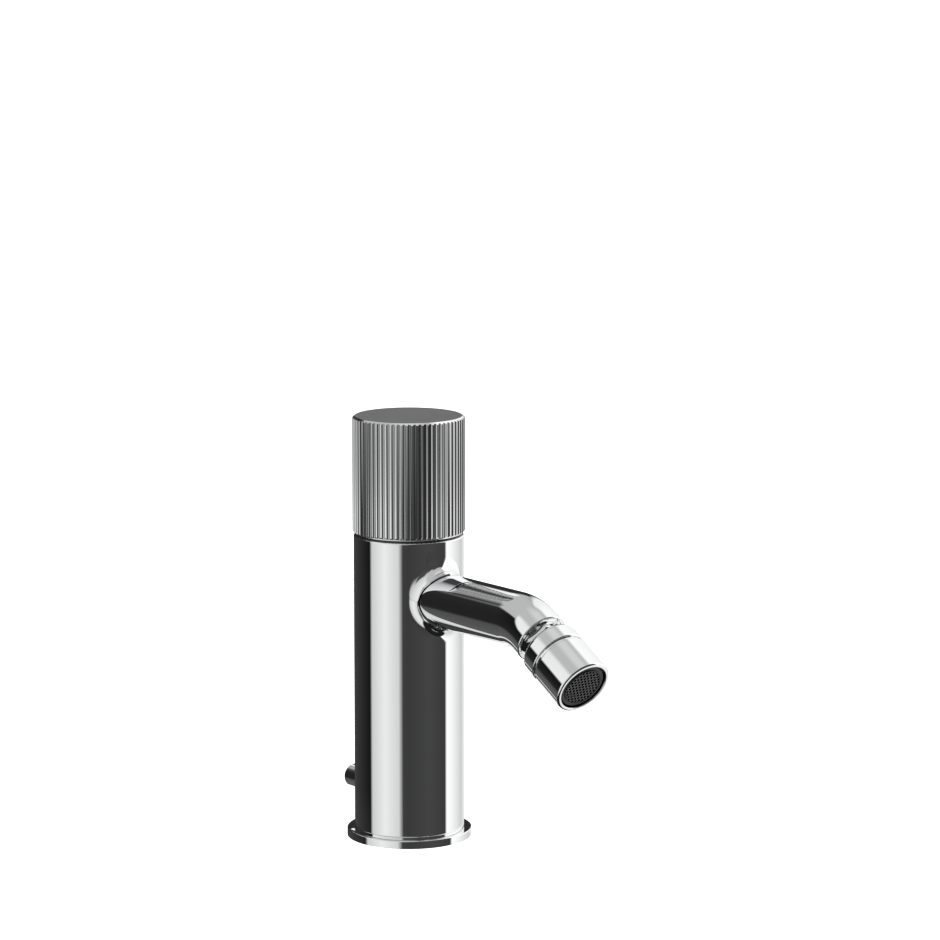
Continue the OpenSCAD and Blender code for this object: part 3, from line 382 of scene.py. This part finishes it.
flat_angle = np.arccos((BALL_S - 3.35) / BALL_R)
ball = turned("joint_ball", np.concatenate([
    [[3.5, -3], [5, -3], [5, 3.35]],
    sphere_arc(BALL_R, flat_angle, np.pi - np.arcsin(3.5 / BALL_R), 40),
]), AT_TIP, "column", ["swivel_ball"], "chrome", 128)

ring = turned("domed_ring", rounded([
    (9.25, 5.8), (7.889, 5.8), (7.764, 5.3, 0.08), (9.4, 4.2, 0.25), (11.25, 4.2, 1.75),
    (11.25, 11.5, 0.45), (9.9, 11.5), (9.9, 9.7), (9.25, 9.7),
], steps=10), AT_TIP, "nozzle", ["swivel_ring"], "chrome")

housing = turned("aerator_housing", np.concatenate([
    sphere_arc(CUP_R, np.pi - np.arcsin(5.5 / CUP_R), np.pi - np.arcsin(8.96 / CUP_R), 12),
    rounded([(9.85, 9.8), (9.85, 11.55), (10.5, 11.55), (10.5, 12.8), (11.15, 12.8, 0.4),
             (11.15, 28, 0.75), (9.5, 28, 0.3), (9.5, 16.5), (5.5, 16.5)], steps=7),
]), AT_TIP, "nozzle", ["aerator_shell"], "chrome")

insert = turned("aerator_cup", rounded([
    (4.95, 18.45), (9.45, 18.45), (9.45, 20.45), (8.9, 20.45), (8.9, 27.25, 0.2), (7.62, 27.25),
    (7.62, 27.75, 0.1), (7.3, 27.75, 0.1), (7.3, 21.65), (3.9, 21.65), (3.9, 20.25), (4.95, 20.25),
]), AT_TIP, "nozzle", ["aerator_insert"], "dark_plastic")

# %% [markdown]
# ## The outlet grille
# Water leaves through a plate of small holes on a triangular lattice. Each hole sits in a six-sided
# cell, so the plate is one cell repeated: an outer hexagon, the rim of the hole and the wall down
# into the dark. Cells at the edge are squeezed onto the plate's circle, which cuts their holes there.

# %% Outlet grille
def grille_cells():
    """Cell centres c = pitch (i + j / 2, j root(3) / 2); ring k of a cell is
    c + radius_k (cos b, sin b), pulled back to the plate's radius where it is farther out."""
    pitch, hole, plate_r, top, depth = 1.5, 0.6, 7.28, GRILLE_S, 1.2
    i, j = np.meshgrid(np.arange(-7, 8), np.arange(-7, 8))
    centres = pitch * np.stack([i + j / 2, j * np.sqrt(0.75)], -1).reshape(-1, 2)
    centres = centres[np.linalg.norm(centres, axis=1) < plate_r + 0.35]
    b = np.radians(np.arange(0, 360, 30) + 30)
    hexagon_r = pitch / 2 / np.cos(np.radians(np.where(np.arange(12) % 2 == 0, 30, 0)))
    rings = []
    for radius, s in ((hexagon_r, top), (hole + 0.05, top), (hole, top - 0.06), (hole, top - depth)):
        flat = centres[:, None] + np.stack([radius * np.cos(b), radius * np.sin(b)], -1)
        away = np.linalg.norm(flat, axis=-1, keepdims=True)
        flat = flat * np.minimum(1, plate_r / np.maximum(away, 1e-9))
        rings.append(np.concatenate([flat, np.full((*flat.shape[:2], 1), s)], -1))
    points = np.stack(rings, 1).reshape(-1, 3)
    one = grid_faces(4, 12, rows_close=False)
    faces = one[None] + 4 * 12 * np.arange(len(centres))[:, None, None]
    return placed(points, AT_TIP), faces.reshape(-1, 4)


grille = piece("grille_plate", *grille_cells(), "nozzle", ["outlet_grille"], "dark_plastic",
               closed=False)

# %% [markdown]
# ## The knob
# The knob is a drum with 66 flutes. Its radius depends on the angle alone: a narrow crest, a
# straight flank and a small rounded floor. At both ends a cone cuts the flutes, so each crest ends
# in a bright little triangle. The radius is known at every angle, so the height at which the cone
# meets the flute is worked out too, and the edges come out exact without any cutting.

# %% Fluted knob
def fluted_drum():
    """Radius falls from a crest by a straight flank, then by an arc floor, as 1 - u^2, to its
    middle; the cones' heights follow from the radius: low = foot + (r - foot radius) / slope,
    high = top - slope (r - rim radius)."""
    pitch = 2 * np.pi / FLUTES
    crest, corner = CREST_W / 2 / KNOB_R, (CREST_W / 2 + FLANK_RUN) / KNOB_R
    floor_turn = np.linspace(corner, pitch - corner, 7)
    u = (floor_turn - pitch / 2) / (pitch / 2 - corner)
    floor_depth = FLUTE_DEPTH * (FLANK_SHARE + (1 - FLANK_SHARE) * (1 - u ** 2))
    turn = np.concatenate([[0, 0.8 * crest, crest], floor_turn, [pitch - crest, pitch - 0.8 * crest]])
    depth = KNOB_R - np.concatenate([[0, 0, 0.012], floor_depth, [0.012, 0]])
    a = (turn[None] + np.radians(FIRST_CREST) + pitch * np.arange(FLUTES)[:, None]).ravel()
    r = np.tile(depth, FLUTES)
    one = np.ones_like(r)
    low, high = KNOB_Z + (r - FOOT_R) / FOOT_SLOPE, KNOB_TOP - (r - RIM_R) * RIM_SLOPE
    rows = [(0 * one, KNOB_TOP - 3), (17 * one, KNOB_TOP - 3), (17 * one, 140), (17 * one, 125.55),
            (18 * one, 125.55), (18 * one, KNOB_Z + 0.3), (18.3 * one, KNOB_Z),
            ((FOOT_R - 0.15) * one, KNOB_Z), (FOOT_R * one, KNOB_Z + 0.02), (r, low), (r, low + 0.02),
            (r, 120.4), (r, 125.6), (r, 140), (r, high - 0.02), (r, high),
            (RIM_R * one, KNOB_TOP), ((RIM_R - 0.1) * one, KNOB_TOP), ((RIM_R - 0.4) * one, KNOB_TOP),
            (10 * one, KNOB_TOP), (0 * one, KNOB_TOP)]
    points = np.stack([np.stack([q * np.cos(a), q * np.sin(a), z + 0 * a], 1) for q, z in rows])
    return points, grid_faces(*points.shape[:2], rows_close=False)


knob = piece("fluted_knob", *fluted_drum(), "knob", ["knob_shell"], "chrome", crease=20)

# %% [markdown]
# ## Small turned parts
# The dark ring that carries the knob, and the pin that lifts the waste.

# %% Glide ring and lift pin
glide = turned("dark_ring", rounded([
    (17, 113), (18.45, 113), (18.45, COLUMN_TOP), (SHADOW_R, COLUMN_TOP),
    (SHADOW_R, COLUMN_TOP + 0.6, 0.1), (17, COLUMN_TOP + 0.6),
]), AT_DECK, "column", ["glide_ring"], "dark_plastic", 200)

root = 12.85
pin = turned("lift_pin", np.concatenate([[[0.0, root]], rounded([
    (0.2, root), (PIN_NECK_R, root, 0.2), (PIN_NECK_R, PIN_HEAD_Y, 0.15), (PIN_R, PIN_HEAD_Y, 0.25),
    (PIN_R, PIN_HEAD_Y + PIN_LEN, 0.18), (0.2, PIN_HEAD_Y + PIN_LEN),
]), [[0.0, PIN_HEAD_Y + PIN_LEN]]]), AT_PIN, "lift", ["waste_pin"], "chrome", 96)

# %% [markdown]
# ## Shared finishes
# Real surfaces are never perfectly even: polish leaves a faint haze, a lathe leaves fine rings and
# a mould leaves a grain. Each effect is a node group with named inputs. It is built once and put
# into every material that needs it, with that material's own values.

# %% A node tree with few words
class Graph:
    """Builds one node tree: an input given as a socket is linked, any other value is set."""

    def __init__(self, tree):
        self.tree = tree

    def add(self, kind, inputs=None, **settings):
        node = self.tree.nodes.new(kind)
        for key, value in settings.items():
            setattr(node, key, value)
        for key, value in (inputs or {}).items():
            if isinstance(value, bpy.types.NodeSocket):
                self.tree.links.new(value, node.inputs[key])
            else:
                node.inputs[key].default_value = value
        return node

    def math(self, operation, first, second=0.5, third=0.5, clamp=False):
        return self.add("ShaderNodeMath", {0: first, 1: second, 2: third},
                        operation=operation, use_clamp=clamp).outputs[0]

    def remap(self, value, low, high, new_low, new_high):
        return self.add("ShaderNodeMapRange", {"Value": value, "From Min": low, "From Max": high,
                                               "To Min": new_low, "To Max": new_high}).outputs[0]


def effect(name, inputs, outputs):
    """A shader node group with float or vector inputs, and its graph, inlet and outlet."""
    tree = bpy.data.node_groups.new(name, "ShaderNodeTree")
    kinds = {"Vector": "NodeSocketVector", "Point": "NodeSocketVector"}
    for label, value in inputs.items():
        socket = tree.interface.new_socket(name=label, in_out="INPUT",
                                           socket_type=kinds.get(label, "NodeSocketFloat"))
        if label not in kinds:
            socket.default_value = value
    for label in outputs:
        tree.interface.new_socket(name=label, in_out="OUTPUT", socket_type="NodeSocketFloat")
    graph = Graph(tree)
    return graph, graph.add("NodeGroupInput").outputs, graph.add("NodeGroupOutput").inputs, tree


# %% Haze left by polishing
haze, into, out, polish_haze = effect(
    "polish_haze", {"Point": None, "Scale": 60.0, "Low": 0.008, "High": 0.03}, ["Roughness", "Height"])
cloud = haze.add("ShaderNodeTexNoise", {"Vector": into["Point"], "Scale": into["Scale"], "Detail": 3.0})
wisp = haze.math("POWER", cloud.outputs[0], 2.5)
haze.tree.links.new(haze.remap(wisp, 0.05, 0.45, into["Low"], into["High"]), out["Roughness"])
haze.tree.links.new(cloud.outputs[0], out["Height"])

# %% Rings left by a lathe
lathe, into, out, turning_marks = effect(
    "turning_marks", {"Point": None, "Rings per metre": 9000.0, "Unevenness": 0.5}, ["Height", "Shade"])
part = lathe.add("ShaderNodeSeparateXYZ", {0: into["Point"]}).outputs
off_axis = lathe.math("SQRT", lathe.math("ADD", lathe.math("POWER", part[0], 2.0),
                                         lathe.math("POWER", part[1], 2.0)))
count = lathe.math("MULTIPLY", lathe.math("ADD", off_axis, part[2]), into["Rings per metre"])
wander = lathe.add("ShaderNodeTexNoise", {"Vector": into["Point"], "Scale": 400.0, "Detail": 2.0})
turns = lathe.math("ADD", count, lathe.math("MULTIPLY", wander.outputs[0], into["Unevenness"]))
groove = lathe.math("PINGPONG", turns, 0.5)
one_ring = lathe.add("ShaderNodeTexWhiteNoise", {"W": lathe.math("FLOOR", turns)}, noise_dimensions="1D")
lathe.tree.links.new(groove, out["Height"])
lathe.tree.links.new(one_ring.outputs["Value"], out["Shade"])

# %% Grain of a mould
mould, into, out, moulded_grain = effect(
    "moulded_grain", {"Point": None, "Scale": 2500.0, "Patches": 90.0}, ["Height", "Shade"])
fine = mould.add("ShaderNodeTexVoronoi", {"Vector": into["Point"], "Scale": into["Scale"]}).outputs[0]
broad = mould.add("ShaderNodeTexNoise",
                  {"Vector": into["Point"], "Scale": into["Patches"], "Detail": 4.0})
mould.tree.links.new(fine, out["Height"])
mould.tree.links.new(broad.outputs[0], out["Shade"])
print("effects:", polish_haze.name, turning_marks.name, moulded_grain.name)

# %% [markdown]
# ## Finishes
# Polished chrome is a mirror with a trace of haze, so its look is mostly the studio around it.
# The hidden parts get their own finishes too: turned brass and steel show lathe rings, plastics
# and rubber show the mould's grain and a slow change of tone.

# %% One finish for each slot
def finish(name, colour, roughness, metallic=0.0, effect_tree=None, settings=None, tone=0.0,
           relief=0.0, haze_range=None):
    """Principled material: tone shades the colour by the effect's Shade, and relief is its bump
    in metres."""
    material = bpy.data.materials.new(name)
    material.use_nodes = True
    graph = Graph(material.node_tree)
    shader = material.node_tree.nodes["Principled BSDF"]
    shader.inputs["Base Color"].default_value = (*colour, 1)
    shader.inputs["Metallic"].default_value = metallic
    shader.inputs["Roughness"].default_value = roughness
    point = graph.add("ShaderNodeTexCoord").outputs["Object"]
    link = material.node_tree.links.new
    if haze_range:
        film = graph.add("ShaderNodeGroup", node_tree=polish_haze)
        link(point, film.inputs["Point"])
        film.inputs["Low"].default_value, film.inputs["High"].default_value = haze_range
        link(film.outputs["Roughness"], shader.inputs["Roughness"])
    if effect_tree:
        pattern = graph.add("ShaderNodeGroup", node_tree=effect_tree)
        link(point, pattern.inputs["Point"])
        for label, value in (settings or {}).items():
            pattern.inputs[label].default_value = value
        shade = graph.remap(pattern.outputs["Shade"], 0.0, 1.0, 1 - tone, 1 + tone)
        tint = graph.add("ShaderNodeVectorMath", {0: colour, "Scale": shade}, operation="SCALE")
        link(tint.outputs[0], shader.inputs["Base Color"])
        bump = graph.add("ShaderNodeBump", {"Height": pattern.outputs["Height"], "Strength": 1.0,
                                            "Distance": relief})
        link(bump.outputs[0], shader.inputs["Normal"])
    return material


CHROME = (0.87, 0.875, 0.88)
FINISHES = {
    "chrome": finish("polished_chrome", CHROME, 0.015, 1.0, haze_range=(0.006, 0.028)),
    "brass": finish("turned_brass", (0.72, 0.50, 0.22), 0.28, 1.0, turning_marks,
                    {"Rings per metre": 5000.0}, 0.08, 0.000006),
    "steel": finish("turned_steel", (0.62, 0.62, 0.61), 0.24, 1.0, turning_marks,
                    {"Rings per metre": 7000.0}, 0.06, 0.000004),
    "rubber": finish("seal_rubber", (0.020, 0.020, 0.021), 0.62, 0.0, moulded_grain,
                     {"Scale": 3200.0}, 0.25, 0.000010),
    "pale_plastic": finish("ivory_plastic", (0.78, 0.76, 0.70), 0.38, 0.0, moulded_grain,
                           {"Scale": 2200.0}, 0.04, 0.000006),
    "ceramic": finish("lapped_ceramic", (0.86, 0.85, 0.82), 0.12, 0.0, moulded_grain,
                      {"Scale": 5000.0, "Patches": 300.0}, 0.03, 0.000001),
    "dark_plastic": finish("dark_plastic", (0.014, 0.014, 0.015), 0.36, 0.0, moulded_grain,
                           {"Scale": 3000.0}, 0.3, 0.000005),
    "orange_plastic": finish("orange_plastic", (0.85, 0.23, 0.03), 0.36, 0.0, moulded_grain,
                             {"Scale": 2400.0}, 0.06, 0.000006),
    "blue_plastic": finish("blue_plastic", (0.04, 0.14, 0.50), 0.36, 0.0, moulded_grain,
                           {"Scale": 2400.0}, 0.06, 0.000006),
}
print("finishes:", ", ".join(FINISHES))

# %% [markdown]
# ## The knob's finish
# The flute floors are painted darker than the crests and the two cones, as painted shade deep in
# the grooves. The flat top is turned and left satin. All follow from the place on the knob: how far
# it is from the axis and how high it is. The lathe rings on the top show as faint circles.

# %% Fluted and satin chrome
SATIN_TONE, SATIN_ROUGHNESS, FLOOR_PAINTED_SHADE, SKIN = 0.8, 0.34, 0.5, 0.02
knob_finish = bpy.data.materials.new("fluted_chrome")
knob_finish.use_nodes = True
look = Graph(knob_finish.node_tree)
shader = knob_finish.node_tree.nodes["Principled BSDF"]
shader.inputs["Metallic"].default_value = 1.0
place = look.add("ShaderNodeTexCoord").outputs["Object"]
part = look.add("ShaderNodeSeparateXYZ", {0: place}).outputs
off_axis = look.math("SQRT", look.math("ADD", look.math("POWER", part[0], 2.0),
                                       look.math("POWER", part[1], 2.0)))
# Painted shade: the colour falls from full at the crests to the floor's share deep in the flutes.
crest = look.remap(off_axis, (KNOB_R - 0.44) * MM, (KNOB_R - 0.12) * MM, FLOOR_PAINTED_SHADE, 1.0)
upper = look.math("MULTIPLY_ADD", off_axis, -RIM_SLOPE, (KNOB_TOP + RIM_R * RIM_SLOPE - SKIN) * MM)
lower = look.math("MULTIPLY_ADD", off_axis, 1 / FOOT_SLOPE, (KNOB_Z - FOOT_R / FOOT_SLOPE + SKIN) * MM)
on_cone = look.math("MAXIMUM", look.math("GREATER_THAN", part[2], upper),
                    look.math("LESS_THAN", part[2], lower))
crest = look.math("MAXIMUM", crest, on_cone)
is_top = look.math("MULTIPLY", look.math("GREATER_THAN", part[2], (KNOB_TOP - 0.01) * MM),
                   look.math("LESS_THAN", off_axis, (RIM_R - 0.05) * MM))
rings = look.add("ShaderNodeGroup", {"Point": place, "Rings per metre": 4200.0}, node_tree=turning_marks)
satin = look.remap(rings.outputs["Shade"], 0.0, 1.0, SATIN_TONE * 0.97, SATIN_TONE * 1.03)
level = look.math("ADD", look.math("MULTIPLY", is_top, satin),
                  look.math("MULTIPLY", look.math("SUBTRACT", 1.0, is_top), crest))
tint = look.add("ShaderNodeVectorMath", {0: CHROME, "Scale": level}, operation="SCALE")
film = look.add("ShaderNodeGroup", {"Point": place, "Low": 0.01, "High": 0.035}, node_tree=polish_haze)
rough = look.math("MULTIPLY_ADD", is_top, SATIN_ROUGHNESS, film.outputs["Roughness"])
relief = look.math("MULTIPLY", rings.outputs["Height"], is_top)
bump = look.add("ShaderNodeBump", {"Height": relief, "Distance": 0.000004})
knob_finish.node_tree.links.new(tint.outputs[0], shader.inputs["Base Color"])
knob_finish.node_tree.links.new(rough, shader.inputs["Roughness"])
knob_finish.node_tree.links.new(bump.outputs[0], shader.inputs["Normal"])
print("finish:", knob_finish.name)

# %% [markdown]
# ## The grille's finish
# The plate is a little paler than the cup round it; the walls of its deep holes are painted black
# as painted shade. How far a point lies along the nozzle tells the plate's face from its hole walls.

# %% Grille plastic
grille_finish = finish("grille_plastic", (0.05, 0.05, 0.051), 0.42, 0.0, moulded_grain,
                       {"Scale": 3000.0}, 0.2, 0.000004)
look = Graph(grille_finish.node_tree)
place = look.add("ShaderNodeTexCoord").outputs["Object"]
along = look.add("ShaderNodeVectorMath", {0: place, 1: tuple(TIP_DOWN)}, operation="DOT_PRODUCT")
face_at = float(AT_TIP[0] @ TIP_DOWN + GRILLE_S - 0.05) * MM
on_face = look.math("GREATER_THAN", along.outputs["Value"], face_at)
shader = grille_finish.node_tree.nodes["Principled BSDF"]
plate_colour = shader.inputs["Base Color"].links[0].from_socket
# Painted shade: the hole walls get a black colour, only the plate's face keeps the plastic's colour.
painted_hole_shade = look.add("ShaderNodeVectorMath", {0: plate_colour, "Scale": on_face}, operation="SCALE")
grille_finish.node_tree.links.new(painted_hole_shade.outputs[0], shader.inputs["Base Color"])
grille_finish.node_tree.links.new(look.math("SUBTRACT", 1.0, on_face), shader.inputs["Metallic"])
print("finish:", grille_finish.name)

# %% Give every piece its finish
for thing in (base, column, collar, spout, nipple, ball, ring, housing, pin):
    thing.data.materials.append(FINISHES["chrome"])
grille.data.materials.append(grille_finish)
for thing in (insert, glide):
    thing.data.materials.append(FINISHES["dark_plastic"])
knob.data.materials.append(knob_finish)
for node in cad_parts.values():
    for slot in node.material_slots:
        slot.material = FINISHES[slot.material.name.split(".")[0]]
print("finished nodes:", len(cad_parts))

# %% [markdown]
# ## Studio
# Polished metal shows its surroundings, so the studio decides what the mixer looks like. The
# picture was lit by two tall bright walls, left and right, with dark cloth between them, a pale
# ceiling and a dark bench. The world is painted with the same panels. Each panel covers a span of
# compass directions, in degrees from +X towards +Y, and a span of heights above the horizon.

# %% World with painted panels
SEAM = 85
FLOOR_GREY, CLOTH_GREY, CEILING_GREY = 27, 60, 183
PANELS = [
    # from, to, low, high, greys at start, middle and end, softness of start, end, low and high
    ("front cloth", 228, 322, -52, 50, (56, 67, 55), (9, 3, 4, 8)),
    ("rear ceiling", 85, 146, 29, 90, (183, 183, 183), (0, 3, 6, 0)),
    ("side ceiling", 403, 445, 29, 90, (176, 183, 183), (8, 0, 6, 0)),
    ("overhead", 85, 445, 76, 90, (206, 206, 206), (0, 0, 14, 0)),
    ("rear cloth", 85, 147, -17, 29, (56, 42, 16), (0, 3, 6, 4)),
    ("rear cloth, high", 85, 117, 20, 36, (50, 50, 60), (0, 6, 4, 6)),
    ("side cloth", 403, 445, -9, 27, (46, 44, 56), (3, 0, 2, 4)),
    ("side cloth, high", 434, 445, 20, 36, (50, 50, 50), (2, 0, 4, 6)),
    ("bright slit", 418, 434, 26, 41, (235, 245, 240), (3, 2, 4, 5)),
    ("rear bench", 85, 144, -52, -17, (98, 84, 62), (0, 5, 4, 6)),
    ("ceiling, left", 140, 250, 38, 62, (184, 184, 184), (4, 14, 6, 4)),
    ("pale wall", 146, 233, -9, 44, (236, 218, 182), (3, 14, 2, 11)),
    ("cloth at eye level", 218, 252, 2, 30, (72, 70, 66), (6, 6, 4, 8)),
    ("pale wall, low", 147, 216, -52, -9, (200, 234, 205), (6, 9, 4, 2)),
    ("bright wall", 317, 403, -9, 64, (262, 262, 232), (5, 5, 2, 10)),
    ("bright wall, low", 317, 431, -52, -9, (260, 203, 262), (5, 3, 4, 2)),
    ("gap behind", 404, 433, -19, -8.5, (56, 56, 60), (4, 3, 4, 1)),
]


def light(value):
    """Radiance that shows as this 8-bit grey once chrome has taken its share."""
    v = value / 255
    return ((v + 0.055) / 1.055) ** 2.4 / 0.87


world = bpy.data.worlds.new("studio")
bpy.context.scene.world = world
world.use_nodes = True
sky_nodes, sky_links = world.node_tree.nodes, world.node_tree.links
sky_nodes.clear()


def maths(operation, *values, clamp=False):
    """One math node of the world; numbers go on its sockets and the rest is linked."""
    node = sky_nodes.new("ShaderNodeMath")
    node.operation = operation
    node.use_clamp = clamp
    for socket, value in zip(node.inputs, values):
        if isinstance(value, (int, float)):
            socket.default_value = value
        else:
            sky_links.new(value, socket)
    return node.outputs[0]


def edge(value, place, softness):
    """Rises from 0 to 1 over a softness around a place, or falls where the softness is negative."""
    share = maths("DIVIDE", maths("SUBTRACT", value, float(place)), float(softness or 0.01))
    return maths("ADD", share, 0.5, clamp=True)


def blend(factor, first, second):
    """first + factor * (second - first)."""
    step = maths("SUBTRACT", second, first)
    return maths("ADD", maths("MULTIPLY", step, factor), first)


direction = sky_nodes.new("ShaderNodeTexCoord").outputs["Generated"]
split = sky_nodes.new("ShaderNodeSeparateXYZ")
sky_links.new(direction, split.inputs[0])
degrees = maths("MULTIPLY", maths("ARCTAN2", split.outputs["Y"], split.outputs["X"]), 180 / np.pi)
compass = maths("ADD", maths("MODULO", maths("ADD", degrees, 720.0 - SEAM), 360.0), float(SEAM))
height = maths("MULTIPLY", maths("ARCSINE", split.outputs["Z"]), 180 / np.pi)

room = blend(edge(height, -52, 4), light(FLOOR_GREY), light(CLOTH_GREY))
room = blend(edge(height, 52, 8), room, light(CEILING_GREY))
for name, start, stop, low, high, greys, soft in PANELS:
    middle = (start + stop) / 2
    first_half = maths("DIVIDE", maths("SUBTRACT", compass, float(start)), middle - start, clamp=True)
    second_half = maths("DIVIDE", maths("SUBTRACT", compass, float(middle)), stop - middle, clamp=True)
    shade = blend(first_half, light(greys[0]), light(greys[1]))
    shade = blend(second_half, shade, light(greys[2]))
    across = maths("MULTIPLY", edge(compass, start, soft[0]), edge(compass, stop, -(soft[1] or 0.01)))
    upright = maths("MULTIPLY", edge(height, low, soft[2]), edge(height, high, -(soft[3] or 0.01)))
    room = blend(maths("MULTIPLY", across, upright), room, shade)
    print(f"{name}: {start} to {stop} degrees, {low} to {high} high")

seen = sky_nodes.new("ShaderNodeLightPath").outputs["Is Camera Ray"]
sky = sky_nodes.new("ShaderNodeBackground")
sky_links.new(blend(seen, room, 1.0), sky.inputs["Color"])
world_out = sky_nodes.new("ShaderNodeOutputWorld")
sky_links.new(sky.outputs[0], world_out.inputs["Surface"])

# %% [markdown]
# ## Floor and soft light
# The picture stands on plain white with no shadow. A pale floor that also glows a little stays
# white under the mixer, and the metal doesn't mirror it, because the bench is one of the panels.
# One broad lamp above gives the plastics their soft light; the metal doesn't mirror the lamp.

# %% Floor
floor_mesh = bpy.data.meshes.new("pale_floor")
reach = 40.0
floor_mesh.from_pydata([(-reach, -reach, 0), (reach, -reach, 0), (reach, reach, 0), (-reach, reach, 0)],
                       [], [(0, 1, 2, 3)])
floor = bpy.data.objects.new("pale_floor", floor_mesh)
bpy.context.scene.collection.objects.link(floor)
floor.visible_glossy = False
paper = bpy.data.materials.new("white_paper")
paper.use_nodes = True
paper_shader = paper.node_tree.nodes["Principled BSDF"]
paper_shader.inputs["Base Color"].default_value = (0.9, 0.9, 0.9, 1)
paper_shader.inputs["Roughness"].default_value = 0.9
paper_shader.inputs["Emission Color"].default_value = (1, 1, 1, 1)
paper_shader.inputs["Emission Strength"].default_value = 0.95
floor_mesh.materials.append(paper)
print("floor:", floor.name)

# %% Lamp
lamp = bpy.data.lights.new("soft_overhead", "AREA")
lamp.shape = "DISK"
lamp.size = 1.6
lamp.energy = 18
soft_overhead = bpy.data.objects.new("soft_overhead", lamp)
soft_overhead.location = (-0.3, -0.5, 1.5)
soft_overhead.visible_glossy = False
soft_overhead.visible_camera = False
bpy.context.scene.collection.objects.link(soft_overhead)
print("lamp at", tuple(round(v, 2) for v in soft_overhead.location))
